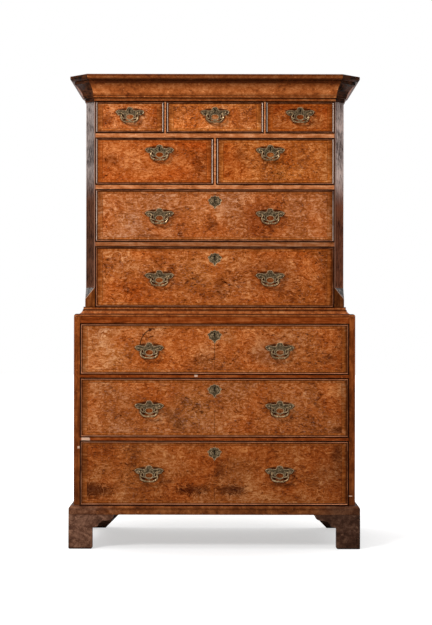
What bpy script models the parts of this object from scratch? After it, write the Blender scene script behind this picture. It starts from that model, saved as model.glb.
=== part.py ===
"""Walnut chest-on-chest with fluted canted corners and pierced brass handles.

Units are metres, +Z is up and the drawers open towards -Y.
"""

from math import atan, cos, hypot, pi, sin, sqrt

import bmesh
import bpy
from mathutils import Matrix, Vector

# Fits
CLEARANCE = 0.0003
DRAWER_HEADROOM = 0.0017
DRAWER_SIDE_GAP = 0.001
CUT_MARGIN = 0.01
WELD = 0.00001

# Lower chest
LOWER_WIDTH = 1.0335
LOWER_DEPTH = 0.540
LOWER_SIDE = 0.024
LOWER_RAIL = 0.0150
LOWER_TOP_RAIL = 0.0262
TOP_RAIL_DEPTH = 0.060
BACK_BOARD = 0.010
BACK_JOINT_WIDTH = 0.003
BACK_JOINT_DEPTH = 0.002
BACK_JOINTS = 3

# Base moulding and bottom board
BASE_PROJECTION = 0.0175
BASE_HEIGHT = 0.0342
BASE_FACE = 0.0185
BASE_LIP = 0.002
BASE_OVOLO_BOW = 0.005
BASE_FRAME = 0.075
BOTTOM_BOARD = 0.018

# Bracket feet
FOOT_HEIGHT = 0.1245
FOOT_BOARD = 0.020
FOOT_WIDTH = 0.088
FOOT_CHAMFER = 0.005
FOOT_STEP_RUN = 0.022
FOOT_STEP_RISE = 0.004
FOOT_HOLLOW_RUN = 0.022
FOOT_HOLLOW_RISE = 0.018
FOOT_NOSE = 0.011
FOOT_NOSE_RISE = 0.003
FOOT_ROUND_RUN = 0.023
FOOT_ROUND_RISE = 0.020
FOOT_BOW = 0.005
FOOT_BLOCK = 0.045
FOOT_BLOCK_LIFT = 0.010
REAR_FOOT_WIDTH = 0.097
REAR_FOOT_RUN = 0.124

# Lower top and waist moulding
WAIST_SETBACK = 0.038
TOP_EDGE = 0.0098
TOP_EDGE_SQUARE = 0.0025
TOP_EDGE_ROUND = 0.012
TOP_EDGE_BOW = 0.003
WAIST_STEP = 0.005
WAIST_SEAT = 0.0143
WAIST_COVE_BOW = 0.003
WAIST_FILLET = 0.0095
WAIST_FILLET_STEP = 0.002
WAIST_LIP = 0.006

# Upper chest
UPPER_SIDE = 0.020
UPPER_BOTTOM = 0.0115
UPPER_RAIL = 0.0195
UPPER_TOP = 0.016
SHORT_DIVIDER = 0.010
HALF_DIVIDER = 0.012
GUIDE_HEIGHT = 0.012
GUIDE_SINK = 0.002

# Fluted canted corners
PILASTER_CANT = 0.035
PILASTER_FILLET = 0.003
PILASTER_REAR = 0.010
STOP_BLOCK = 0.038
STOP_RUN = 0.044
FLUTES = 4
FLUTE_BORDER = 0.0035
FLUTE_FILLET = 0.0024
FLUTE_DEPTH = 0.0032
FLUTE_START = 0.004
FLUTE_SIDES = 10

# Cornice, from the frieze up to the crown
CORNICE_BOARD = 0.012
FRIEZE_STEP = 0.004
FRIEZE_HEIGHT = 0.0135
BEAD_STEP = 0.003
BEAD_HEIGHT = 0.006
BEAD_BOW = 0.0025
CAVETTO_STEP = 0.004
CAVETTO_RUN = 0.029
CAVETTO_HEIGHT = 0.044
CAVETTO_BOW = 0.005
FILLET_STEP = 0.002
FILLET_HEIGHT = 0.010
CROWN_STEP = 0.004
CROWN_RUN = 0.012
CROWN_HEIGHT = 0.0160
CROWN_BOW = 0.004
CROWN_FILLET = 0.0038

# Drawers, rows numbered from the top
ROW_1_HEIGHT = 0.1130
ROW_2_HEIGHT = 0.1690
ROW_3_HEIGHT = 0.1900
ROW_4_HEIGHT = 0.2206
ROW_5_HEIGHT = 0.1825
ROW_6_HEIGHT = 0.2138
ROW_7_HEIGHT = 0.2329
MIDDLE_DRAWER_WIDTH = 0.356
DRAWER_REAR_GAP = 0.028
DRAWER_FRONT = 0.020
DRAWER_SIDE = 0.011
DRAWER_BACK = 0.011
DRAWER_BOTTOM = 0.007
DRAWER_BOTTOM_LIFT = 0.008
DRAWER_SIDE_DROP = 0.004
DRAWER_BACK_DROP = 0.012
BEAD_WIDTH = 0.004
BEAD_PROUD = 0.0025
BEAD_ROUND = 0.0012

# Handles
HANDLE_SPREAD_UPPER = 0.205
HANDLE_SPREAD_LOWER = 0.240
ROW_1_RISE = 0.016
ROW_2_RISE = 0.039
ROW_3_RISE = 0.0055
ROW_4_RISE = 0.003
ROW_5_RISE = 0.0025
ROW_6_RISE = 0.004
ROW_7_RISE = 0.006
PLATE_THICKNESS = 0.0018
PLATE_SMOOTHNESS = 2
PLATE_RISE = 0.022
PLATE_FALL = 0.029
CROWN_HALF = 0.013
WING_REACH = 0.0135
WING_RISE = 0.0105
WING_FALL = 0.009
PIERCING_POINTS = 6
MIDDLE_PIERCING_WIDTH = 0.028
MIDDLE_PIERCING_HEIGHT = 0.018
SIDE_PIERCING_WIDTH = 0.007
SIDE_PIERCING_HEIGHT = 0.017
SIDE_PIERCING_LEAN = 0.35
POST_SPREAD = 0.039
POST_REACH = 0.017
POST_SIDES = 8
NECK_RADIUS = 0.0028
BALL_RADIUS = 0.005
SOCKET_DEPTH = 0.0045
PIN_RADIUS = 0.0014
BAIL_NECK_RADIUS = 0.0021
BAIL_GRIP_RADIUS = 0.0031
BAIL_DROP = 0.035
BAIL_SHOULDER = 0.0056
BAIL_SWELL = 0.003
BAIL_TURN = 0.011

# Escutcheons on the long drawers
ESCUTCHEON_DROP = 0.043
ESCUTCHEON_HALF = 0.026
ESCUTCHEON_RISE = 0.022
ESCUTCHEON_FALL = 0.027
ESCUTCHEON_PROUD = 0.0015
ESCUTCHEON_SINK = 0.001
KEYHOLE_RADIUS = 0.0028
KEYHOLE_SLOT = 0.0026
KEYHOLE_LENGTH = 0.013
KEYHOLE_RISE = 0.008

# Finishes: colour, roughness, metallic
WALNUT = ((0.36, 0.135, 0.045), 0.40, 0.0)
DARK_WALNUT = ((0.105, 0.042, 0.020), 0.45, 0.0)
CASE_WALNUT = ((0.20, 0.075, 0.028), 0.42, 0.0)
PINE = ((0.24, 0.135, 0.065), 0.75, 0.0)
BRASS = ((0.33, 0.26, 0.14), 0.42, 1.0)


def opening(drawer_height):
    """Height of the space between rails that a drawer needs."""
    return CLEARANCE + drawer_height + DRAWER_HEADROOM


# Levels, from the floor up
BASE_BOTTOM = FOOT_HEIGHT + CLEARANCE
ROW_7_FLOOR = BASE_BOTTOM + BASE_HEIGHT
ROW_6_FLOOR = ROW_7_FLOOR + opening(ROW_7_HEIGHT) + LOWER_RAIL
ROW_5_FLOOR = ROW_6_FLOOR + opening(ROW_6_HEIGHT) + LOWER_RAIL
ROW_5_CEILING = ROW_5_FLOOR + opening(ROW_5_HEIGHT)
LOWER_CASE_TOP = ROW_5_CEILING + LOWER_TOP_RAIL
LOWER_TOP_BOTTOM = LOWER_CASE_TOP + CLEARANCE
UPPER_SEAT = LOWER_TOP_BOTTOM + TOP_EDGE + WAIST_SEAT
UPPER_FOOT = UPPER_SEAT + CLEARANCE
ROW_4_FLOOR = UPPER_FOOT + UPPER_BOTTOM
ROW_3_FLOOR = ROW_4_FLOOR + opening(ROW_4_HEIGHT) + UPPER_RAIL
ROW_2_FLOOR = ROW_3_FLOOR + opening(ROW_3_HEIGHT) + UPPER_RAIL
ROW_1_FLOOR = ROW_2_FLOOR + opening(ROW_2_HEIGHT) + UPPER_RAIL
ROW_1_CEILING = ROW_1_FLOOR + opening(ROW_1_HEIGHT)
CORNICE_HEIGHT = FRIEZE_HEIGHT + BEAD_HEIGHT + CAVETTO_HEIGHT + FILLET_HEIGHT + CROWN_HEIGHT + CROWN_FILLET
CORNICE_TOP = ROW_1_CEILING + CORNICE_HEIGHT
UPPER_CASE_TOP = CORNICE_TOP - CORNICE_BOARD - CLEARANCE

# Fronts and backs, with the whole depth centred on Y = 0
CORNICE_PROJECTION = (
    FRIEZE_STEP + BEAD_STEP + CAVETTO_STEP + CAVETTO_RUN + FILLET_STEP + CROWN_STEP + CROWN_RUN
)
FRONT_REACH = max(POST_REACH + BALL_RADIUS, BASE_PROJECTION, CORNICE_PROJECTION - WAIST_SETBACK)
BACK = (LOWER_DEPTH + FRONT_REACH) / 2
LOWER_FRONT = BACK - LOWER_DEPTH
UPPER_FRONT = LOWER_FRONT + WAIST_SETBACK
BOARD_BACK = BACK - BACK_BOARD - CLEARANCE

# Widths from the middle
LOWER_HALF = LOWER_WIDTH / 2
LOWER_OPENING_HALF = LOWER_HALF - LOWER_SIDE
UPPER_HALF = LOWER_HALF - WAIST_SETBACK
UPPER_OPENING_HALF = UPPER_HALF - PILASTER_CANT - PILASTER_FILLET
UPPER_INNER_HALF = UPPER_HALF - UPPER_SIDE
PILASTER_BACK = UPPER_FRONT + PILASTER_CANT + PILASTER_REAR

# Flutes spread evenly over the face of a cant
FLUTE_PITCH = (sqrt(2) * PILASTER_CANT - 2 * FLUTE_BORDER) / FLUTES
FLUTE_HALF = (FLUTE_PITCH - FLUTE_FILLET) / 2
FLUTE_RADIUS = (FLUTE_HALF**2 + FLUTE_DEPTH**2) / (2 * FLUTE_DEPTH)

for item in list(bpy.data.objects):
    bpy.data.objects.remove(item, do_unlink=True)
PARTS = bpy.data.collections.new("chest_on_chest")
TOOLS = bpy.data.collections.new("chest_on_chest_tools")
for collection in (PARTS, TOOLS):
    bpy.context.scene.collection.children.link(collection)


def keep_in(collection, piece):
    """Move an object to one collection."""
    for home in list(piece.users_collection):
        home.objects.unlink(piece)
    collection.objects.link(piece)


def finish(piece, name, look):
    """Name a finished sub-part, give it its own material and put it with the parts."""
    colour, roughness, metallic = look
    material = bpy.data.materials.new(name)
    material.use_nodes = True
    shader = material.node_tree.nodes["Principled BSDF"]
    shader.inputs["Base Color"].default_value = (*colour, 1)
    shader.inputs["Roughness"].default_value = roughness
    shader.inputs["Metallic"].default_value = metallic
    piece.name = name
    if not piece.material_slots:
        piece.data.materials.append(material)
    piece.material_slots[0].link = "OBJECT"
    piece.material_slots[0].material = material
    keep_in(PARTS, piece)
    return piece


def box(low, high):
    """Add a block between two opposite corners, with its origin in its middle."""
    low = Vector(low)
    high = Vector(high)
    bpy.ops.mesh.primitive_cube_add(size=1, location=(low + high) / 2)
    block = bpy.context.object
    block.data.transform(Matrix.Diagonal((*(high - low), 1)))
    return block


def combine(piece, tool, operation):
    """Join a tool to a piece, or cut it out, and hide the tool."""
    modifier = piece.modifiers.new(operation.lower(), "BOOLEAN")
    modifier.operation = operation
    modifier.object = tool
    tool.hide_render = True
    tool.display_type = "WIRE"
    keep_in(TOOLS, tool)


def cut(piece, *tools):
    """Cut tools out of a piece."""
    for tool in tools:
        combine(piece, tool, "DIFFERENCE")


def join(piece, *tools):
    """Join tools to a piece as one solid."""
    for tool in tools:
        combine(piece, tool, "UNION")


def hang(child, parent):
    """Parent an object without moving it; the parent is neither turned nor scaled."""
    child.parent = parent
    child.location -= parent.location


def mesh_object(name, mesh):
    """Add an object for a mesh to the scene."""
    piece = bpy.data.objects.new(name, mesh)
    bpy.context.scene.collection.objects.link(piece)
    return piece


def evaluated_mesh(source):
    """Mesh of a curve, or of an object with its modifiers, with its seams welded."""
    view = bpy.context.evaluated_depsgraph_get()
    mesh = bpy.data.meshes.new_from_object(source.evaluated_get(view))
    shape = bmesh.new()
    shape.from_mesh(mesh)
    bmesh.ops.remove_doubles(shape, verts=shape.verts, dist=WELD)
    shape.to_mesh(mesh)
    shape.free()
    return mesh


def solid_from_curve(curve):
    """Turn a curve into a closed mesh object."""
    guide = mesh_object(curve.name, curve)
    piece = mesh_object(curve.name, evaluated_mesh(guide))
    bpy.data.objects.remove(guide)
    return piece


def arc(start, end, bow, steps):
    """Points on the round arc from start to end that bows to the left by a height."""
    x0, y0 = start
    x1, y1 = end
    half = hypot(x1 - x0, y1 - y0) / 2
    along = ((x1 - x0) / (2 * half), (y1 - y0) / (2 * half))
    spread = 2 * atan(bow / half)
    radius = half / sin(spread)
    points = []
    for step in range(steps + 1):
        turn = spread * (2 * step / steps - 1)
        u = radius * sin(turn)
        v = radius * (cos(turn) - cos(spread))
        x = (x0 + x1) / 2 + u * along[0] - v * along[1]
        y = (y0 + y1) / 2 + u * along[1] + v * along[0]
        points.append((x, y))
    return points


def extruded(outlines, thickness, smoothness=0):
    """Extrude closed outlines of the XY plane evenly to both sides; inner ones are holes."""
    curve = bpy.data.curves.new("outline", "CURVE")
    curve.dimensions = "2D"
    curve.fill_mode = "BOTH"
    curve.extrude = thickness / 2
    for index, outline in enumerate(outlines):
        if smoothness and index == 0:
            spline = curve.splines.new("BEZIER")
            spline.bezier_points.add(len(outline) - 1)
            spline.resolution_u = smoothness
            for point, (x, y) in zip(spline.bezier_points, outline):
                point.co = (x, y, 0)
                point.handle_left_type = "AUTO"
                point.handle_right_type = "AUTO"
        else:
            spline = curve.splines.new("POLY")
            spline.points.add(len(outline) - 1)
            for point, (x, y) in zip(spline.points, outline):
                point.co = (x, y, 0, 1)
        spline.use_cyclic_u = True
    return solid_from_curve(curve)


def turned(profile, sides):
    """Turn (radius, height) points, listed from top to bottom, about Z."""
    mesh = bpy.data.meshes.new("turning")
    edges = [(index, index + 1) for index in range(len(profile) - 1)]
    mesh.from_pydata([(radius, 0, height) for radius, height in profile], edges, [])
    guide = mesh_object("turning", mesh)
    screw = guide.modifiers.new("turning", "SCREW")
    screw.steps = sides
    screw.render_steps = sides
    screw.use_merge_vertices = True
    screw.merge_threshold = WELD
    piece = mesh_object("turning", evaluated_mesh(guide))
    bpy.data.objects.remove(guide)
    return piece


def moulded(plan, profile):
    """Loft a plan through the (offset, height) points of an edge moulding, bottom to top, with a flat back."""
    shape = bmesh.new()
    rings = []
    for offset, height in profile:
        rings.append([shape.verts.new((x, y, height)) for x, y in plan(offset)])
    for lower, upper in zip(rings, rings[1:]):
        for index in range(len(lower) - 1):
            after = index + 1
            shape.faces.new((lower[index], lower[after], upper[after], upper[index]))
    shape.faces.new(reversed(rings[0]))
    shape.faces.new(rings[-1])
    shape.faces.new([ring[0] for ring in rings] + [ring[-1] for ring in reversed(rings)])
    mesh = bpy.data.meshes.new("moulding")
    shape.to_mesh(mesh)
    shape.free()
    return mesh_object("moulding", mesh)


def lower_plan(offset):
    """Plan of the lower chest, widened to the front and sides."""
    wide = LOWER_HALF + offset
    front = LOWER_FRONT - offset
    return [(-wide, BACK), (-wide, front), (wide, front), (wide, BACK)]


def upper_plan(offset):
    """Plan of the upper chest with its canted corners, widened to the front and sides."""
    wide = UPPER_HALF + offset
    front = UPPER_FRONT - offset
    mitre = (sqrt(2) - 1) * offset
    inner = UPPER_HALF - PILASTER_CANT + mitre
    side_front = UPPER_FRONT + PILASTER_CANT - mitre
    right = [(inner, front), (wide, side_front), (wide, BACK)]
    left = [(-x, y) for x, y in reversed(right)]
    return left + right


def bracket_outline():
    """Outline of a shaped bracket, with its outer bottom corner at the origin and the run along +X."""
    step_end = FOOT_WIDTH + FOOT_STEP_RUN
    nose_top = FOOT_HEIGHT - FOOT_ROUND_RISE
    step_top = nose_top - FOOT_NOSE_RISE - FOOT_HOLLOW_RISE
    hollow_end = (step_end + FOOT_HOLLOW_RUN, step_top + FOOT_HOLLOW_RISE)
    nose_end = (hollow_end[0] + FOOT_NOSE, nose_top)
    round_end = (nose_end[0] + FOOT_ROUND_RUN, FOOT_HEIGHT)
    points = [(0, FOOT_CHAMFER), (FOOT_CHAMFER, 0), (FOOT_WIDTH - FOOT_CHAMFER, 0), (FOOT_WIDTH, FOOT_CHAMFER)]
    points.append((FOOT_WIDTH, step_top - FOOT_STEP_RISE))
    points += arc((step_end, step_top), hollow_end, FOOT_BOW, 4)
    points += arc(nose_end, round_end, -FOOT_BOW, 4)
    points.append((0, FOOT_HEIGHT))
    return points


def upright(outline, thickness, corner, inward, facing):
    """Stand a bracket outline up with its outer corner at a point, running inward along X or Y."""
    board = extruded([outline], thickness)
    half = thickness / 2
    if facing == "Y":
        turn = Matrix(((inward, 0, 0), (0, 0, 1), (0, 1, 0)))
        shift = Vector((0, half, 0)) if corner[1] < 0 else Vector((0, -half, 0))
    else:
        turn = Matrix(((0, 0, 1), (inward, 0, 0), (0, 1, 0)))
        shift = Vector((-half, 0, 0)) if corner[0] > 0 else Vector((half, 0, 0))
    board.data.transform(turn.to_4x4())
    if turn.determinant() < 0:
        board.data.flip_normals()
    board.location = Vector((corner[0], corner[1], 0)) + shift
    return board


def foot(name, side, at_front):
    """A bracket foot: two boards meeting at the corner with a glue block behind them."""
    x = side * (LOWER_HALF + BASE_PROJECTION)
    y = LOWER_FRONT - BASE_PROJECTION if at_front else BACK
    inward = 1 if at_front else -1
    piece = upright(bracket_outline(), FOOT_BOARD, (x, y), inward, "X")
    rear_outline = [(0, FOOT_CHAMFER), (FOOT_CHAMFER, 0), (REAR_FOOT_WIDTH, 0)]
    rear_outline += [(REAR_FOOT_WIDTH + REAR_FOOT_RUN, FOOT_HEIGHT), (0, FOOT_HEIGHT)]
    outline = bracket_outline() if at_front else rear_outline
    join(piece, upright(outline, FOOT_BOARD, (x, y), -side, "Y"))
    near = FOOT_BOARD / 2
    far = FOOT_BOARD + FOOT_BLOCK
    xs = sorted((x - side * near, x - side * far))
    ys = sorted((y + inward * near, y + inward * far))
    block_top = FOOT_HEIGHT - FOOT_BLOCK_LIFT
    join(piece, box((xs[0], ys[0], FOOT_BLOCK_LIFT), (xs[1], ys[1], block_top)))
    return finish(piece, name, DARK_WALNUT)


def base():
    """Base moulding and bottom board, with slots for the sides and a hollow under the board."""
    face_top = BASE_BOTTOM + BASE_FACE
    profile = [(BASE_PROJECTION, BASE_BOTTOM)]
    profile += arc((BASE_PROJECTION, face_top), (BASE_LIP, ROW_7_FLOOR), -BASE_OVOLO_BOW, 5)
    piece = moulded(lower_plan, profile)
    board_bottom = ROW_7_FLOOR - BOTTOM_BOARD
    frame = LOWER_HALF + BASE_PROJECTION - BASE_FRAME
    front = LOWER_FRONT - BASE_PROJECTION + BASE_FRAME
    cut(piece, box((-frame, front, 0), (frame, BACK - BASE_FRAME, board_bottom)))
    for side in (-1, 1):
        xs = sorted((side * (LOWER_OPENING_HALF - CLEARANCE), side * (LOWER_HALF + CLEARANCE)))
        low = (xs[0], LOWER_FRONT - CLEARANCE, board_bottom)
        cut(piece, box(low, (xs[1], BACK + CUT_MARGIN, ROW_7_FLOOR + CUT_MARGIN)))
    return finish(piece, "base_moulding_and_bottom", CASE_WALNUT)


def lower_side(name, side):
    """A side board of the lower chest, standing in its slot of the base."""
    bottom = ROW_7_FLOOR - BOTTOM_BOARD + CLEARANCE
    xs = sorted((side * LOWER_OPENING_HALF, side * LOWER_HALF))
    return finish(box((xs[0], LOWER_FRONT, bottom), (xs[1], BACK, LOWER_CASE_TOP)), name, DARK_WALNUT)


def lower_rail(name, floor):
    """A rail of the lower chest with its dust board, whose top is the floor of a drawer."""
    half = LOWER_OPENING_HALF - CLEARANCE
    low = (-half, LOWER_FRONT, floor - LOWER_RAIL)
    return finish(box(low, (half, BOARD_BACK, floor)), name, CASE_WALNUT)


def lower_top():
    """Top of the lower chest: rounded edge, waist moulding round the upper chest's seat, and front rail."""
    edge_top = LOWER_TOP_BOTTOM + TOP_EDGE
    step = -TOP_EDGE_ROUND - WAIST_STEP
    profile = [(0, LOWER_TOP_BOTTOM)]
    edge_start = (0, LOWER_TOP_BOTTOM + TOP_EDGE_SQUARE)
    profile += arc(edge_start, (-TOP_EDGE_ROUND, edge_top), -TOP_EDGE_BOW, 4)
    lip = WAIST_LIP - WAIST_SETBACK
    fillet = ROW_4_FLOOR - WAIST_FILLET
    profile += arc((step, edge_top), (lip + WAIST_FILLET_STEP, fillet), WAIST_COVE_BOW, 4)
    profile += [(lip, fillet), (lip, ROW_4_FLOOR)]
    piece = moulded(lower_plan, profile)
    seat = UPPER_HALF + CLEARANCE
    low = (-seat, UPPER_FRONT - CLEARANCE, UPPER_SEAT)
    cut(piece, box(low, (seat, BACK + CUT_MARGIN, ROW_4_FLOOR + CUT_MARGIN)))
    half = LOWER_OPENING_HALF - CLEARANCE
    low = (-half, LOWER_FRONT + CLEARANCE, ROW_5_CEILING)
    join(piece, box(low, (half, LOWER_FRONT + TOP_RAIL_DEPTH, LOWER_TOP_BOTTOM + TOP_EDGE / 2)))
    return finish(piece, "lower_top_and_waist_moulding", CASE_WALNUT)


def back_boards(name, half, bottom, top):
    """Upright back boards with open joints between them."""
    piece = box((-half, BACK - BACK_BOARD, bottom), (half, BACK, top))
    pitch = 2 * half / (BACK_JOINTS + 1)
    for joint in range(BACK_JOINTS):
        x = -half + (joint + 1) * pitch
        low = (x - BACK_JOINT_WIDTH / 2, BACK - BACK_JOINT_DEPTH, bottom - CUT_MARGIN)
        cut(piece, box(low, (x + BACK_JOINT_WIDTH / 2, BACK + CUT_MARGIN, top + CUT_MARGIN)))
    return finish(piece, name, PINE)


def upper_side(name, side):
    """A side board of the upper chest, behind the pilaster and up into the cornice."""
    xs = sorted((side * UPPER_INNER_HALF, side * UPPER_HALF))
    low = (xs[0], PILASTER_BACK + CLEARANCE, UPPER_FOOT)
    return finish(box(low, (xs[1], BACK, UPPER_CASE_TOP)), name, DARK_WALNUT)


def cant_tool(side):
    """Corner waste of a pilaster: a 45 degree cant that runs out in a sloping stop."""
    stop_bottom = UPPER_FOOT + STOP_BLOCK
    stop_top = stop_bottom + STOP_RUN
    inner = UPPER_HALF - PILASTER_CANT - CUT_MARGIN
    outer = UPPER_HALF + CUT_MARGIN
    front = UPPER_FRONT - CUT_MARGIN
    rear = UPPER_FRONT + PILASTER_CANT + CUT_MARGIN
    drop = STOP_RUN * (PILASTER_CANT + 2 * CUT_MARGIN) / PILASTER_CANT
    shape = bmesh.new()
    for height in (stop_top, UPPER_CASE_TOP + CUT_MARGIN):
        for x, y in ((inner, front), (outer, front), (outer, rear)):
            shape.verts.new((side * x, y, height))
    shape.verts.new((side * outer, front, stop_top - drop))
    bmesh.ops.convex_hull(shape, input=shape.verts)
    mesh = bpy.data.meshes.new("cant")
    shape.to_mesh(mesh)
    shape.free()
    return mesh_object("cant", mesh)


def flute_tool(side, index):
    """A long round-ended bar that hollows one flute of a cant."""
    start = UPPER_FOOT + STOP_BLOCK + STOP_RUN + FLUTE_START + FLUTE_RADIUS
    shape = bmesh.new()
    bmesh.ops.create_uvsphere(shape, u_segments=FLUTE_SIDES, v_segments=5, radius=FLUTE_RADIUS)
    for vert in shape.verts:
        if vert.co.z > 0:
            vert.co.z += UPPER_CASE_TOP - start
    mesh = bpy.data.meshes.new("flute")
    shape.to_mesh(mesh)
    shape.free()
    bar = mesh_object("flute", mesh)
    across = (index - (FLUTES - 1) / 2) * FLUTE_PITCH
    proud = FLUTE_RADIUS - FLUTE_DEPTH
    x = UPPER_HALF - PILASTER_CANT / 2 + (across + proud) / sqrt(2)
    y = UPPER_FRONT + PILASTER_CANT / 2 + (across - proud) / sqrt(2)
    bar.location = (side * x, y, start)
    bar.rotation_euler = (0, 0, pi / 4)
    return bar


def pilaster(name, side):
    """A corner post with a fluted cant above a square block."""
    xs = sorted((side * UPPER_OPENING_HALF, side * UPPER_HALF))
    piece = box((xs[0], UPPER_FRONT, UPPER_FOOT), (xs[1], PILASTER_BACK, UPPER_CASE_TOP))
    cut(piece, cant_tool(side))
    cut(piece, *(flute_tool(side, index) for index in range(FLUTES)))
    return finish(piece, name, DARK_WALNUT)


def post_notch(side):
    """Room for a pilaster at a front corner of the upper chest's boards."""
    xs = sorted((side * (UPPER_OPENING_HALF - CLEARANCE), side * (UPPER_HALF + CUT_MARGIN)))
    low = (xs[0], UPPER_FRONT - CUT_MARGIN, UPPER_FOOT - CUT_MARGIN)
    return box(low, (xs[1], PILASTER_BACK + CLEARANCE, CORNICE_TOP))


def upper_board(bottom, top, notches):
    """A full-depth board of the upper chest, notched round the pilasters."""
    half = UPPER_INNER_HALF - CLEARANCE
    piece = box((-half, UPPER_FRONT, bottom), (half, BOARD_BACK, top))
    cut(piece, *notches)
    return piece


def guides(floor):
    """Strips on a dust board that keep the drawers from swaying behind the pilasters."""
    strips = []
    for side in (-1, 1):
        inner = UPPER_OPENING_HALF
        outer = UPPER_INNER_HALF - 2 * CLEARANCE
        xs = sorted((side * inner, side * outer))
        low = (xs[0], PILASTER_BACK + 2 * CLEARANCE, floor - GUIDE_SINK)
        strips.append(box(low, (xs[1], BOARD_BACK - CLEARANCE, floor + GUIDE_HEIGHT)))
    return strips


def upper_rail(name, floor, thickness, notches):
    """A board of the upper chest with drawer guides, whose top is the floor of a drawer."""
    piece = upper_board(floor - thickness, floor, notches)
    join(piece, *guides(floor))
    return finish(piece, name, CASE_WALNUT)


def divider(x, thickness, floor, ceiling):
    """An upright partition between two drawers of a row, let into the boards above and below."""
    low = (x - thickness / 2, UPPER_FRONT + CLEARANCE, floor - GUIDE_SINK)
    return box(low, (x + thickness / 2, BOARD_BACK - CLEARANCE, ceiling + GUIDE_SINK))


def divider_frame(notches):
    """Top board, two rails with dust boards, and the partitions between the small drawers."""
    piece = upper_board(ROW_1_CEILING, ROW_1_CEILING + UPPER_TOP, notches)
    for floor in (ROW_1_FLOOR, ROW_2_FLOOR):
        board = upper_board(floor - UPPER_RAIL, floor, notches)
        join(board, *guides(floor))
        join(piece, board)
    short_x = MIDDLE_DRAWER_WIDTH / 2 + DRAWER_SIDE_GAP + SHORT_DIVIDER / 2
    for x in (-short_x, short_x):
        join(piece, divider(x, SHORT_DIVIDER, ROW_1_FLOOR, ROW_1_CEILING))
    join(piece, divider(0, HALF_DIVIDER, ROW_2_FLOOR, ROW_1_FLOOR - UPPER_RAIL))
    return finish(piece, "upper_divider_frame", CASE_WALNUT)


def cornice():
    """Moulded cornice with canted corners, closed on top and hollow where the case stands in it."""
    heights = [ROW_1_CEILING]
    for part in (FRIEZE_HEIGHT, BEAD_HEIGHT, CAVETTO_HEIGHT, FILLET_HEIGHT, CROWN_HEIGHT, CROWN_FILLET):
        heights.append(heights[-1] + part)
    bottom, frieze, bead, cavetto, fillet, crown, top = heights
    reach = FRIEZE_STEP
    profile = [(reach, bottom), (reach, frieze)]
    reach += BEAD_STEP
    profile += arc((reach, frieze), (reach, bead), -BEAD_BOW, 4)
    reach += CAVETTO_STEP
    profile += arc((reach, bead), (reach + CAVETTO_RUN, cavetto), CAVETTO_BOW, 5)
    reach += CAVETTO_RUN + FILLET_STEP
    profile += [(reach, cavetto), (reach, fillet)]
    reach += CROWN_STEP
    profile += arc((reach, fillet), (reach + CROWN_RUN, crown), -CROWN_BOW, 4)
    profile.append((CORNICE_PROJECTION, top))
    piece = moulded(upper_plan, profile)
    ceiling = CORNICE_TOP - CORNICE_BOARD
    hollow = moulded(
        lambda offset: [(x, y + offset * (y == BACK)) for x, y in upper_plan(CLEARANCE)],
        [(CUT_MARGIN, bottom - CUT_MARGIN), (CUT_MARGIN, ceiling)],
    )
    cut(piece, hollow)
    return finish(piece, "cornice", CASE_WALNUT)


def keyhole(centre):
    """Outline of a keyhole: a round eye over a straight slot."""
    half = KEYHOLE_SLOT / 2
    foot_z = centre - KEYHOLE_LENGTH
    points = [(half, foot_z)]
    for step in range(8):
        turn = -pi / 3 + step * (5 * pi / 3) / 7
        points.append((KEYHOLE_RADIUS * cos(turn), centre + KEYHOLE_RADIUS * sin(turn)))
    points.append((-half, foot_z))
    return points


def mirrored(half):
    """Whole outline from its right half, listed from the top point to the bottom point."""
    return half + [(-x, y) for x, y in reversed(half[1:-1])]


def ellipse(x, y, width, height, lean):
    """Outline of a leaning oval piercing."""
    outline = []
    for step in range(PIERCING_POINTS):
        turn = 2 * pi * step / PIERCING_POINTS
        u = width / 2 * cos(turn)
        v = height / 2 * sin(turn)
        outline.append((x + u * cos(lean) - v * sin(lean), y + u * sin(lean) + v * cos(lean)))
    return outline


def escutcheon_mesh():
    """Lobed shield with a keyhole, lying in the XY plane with its middle at the origin."""
    wide = ESCUTCHEON_HALF
    rise = ESCUTCHEON_RISE
    fall = ESCUTCHEON_FALL
    half = [(0, rise), (0.35 * wide, 0.82 * rise), (0.5 * wide, 0.9 * rise), (0.7 * wide, 0.55 * rise)]
    half += [(wide, 0.27 * rise), (0.8 * wide, -0.1 * fall), (0.77 * wide, -0.37 * fall)]
    half += [(0.38 * wide, -0.55 * fall), (0.2 * wide, -0.7 * fall), (0, -fall)]
    thickness = ESCUTCHEON_PROUD + ESCUTCHEON_SINK
    return extruded([mirrored(half), keyhole(KEYHOLE_RISE)], thickness, PLATE_SMOOTHNESS)


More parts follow.
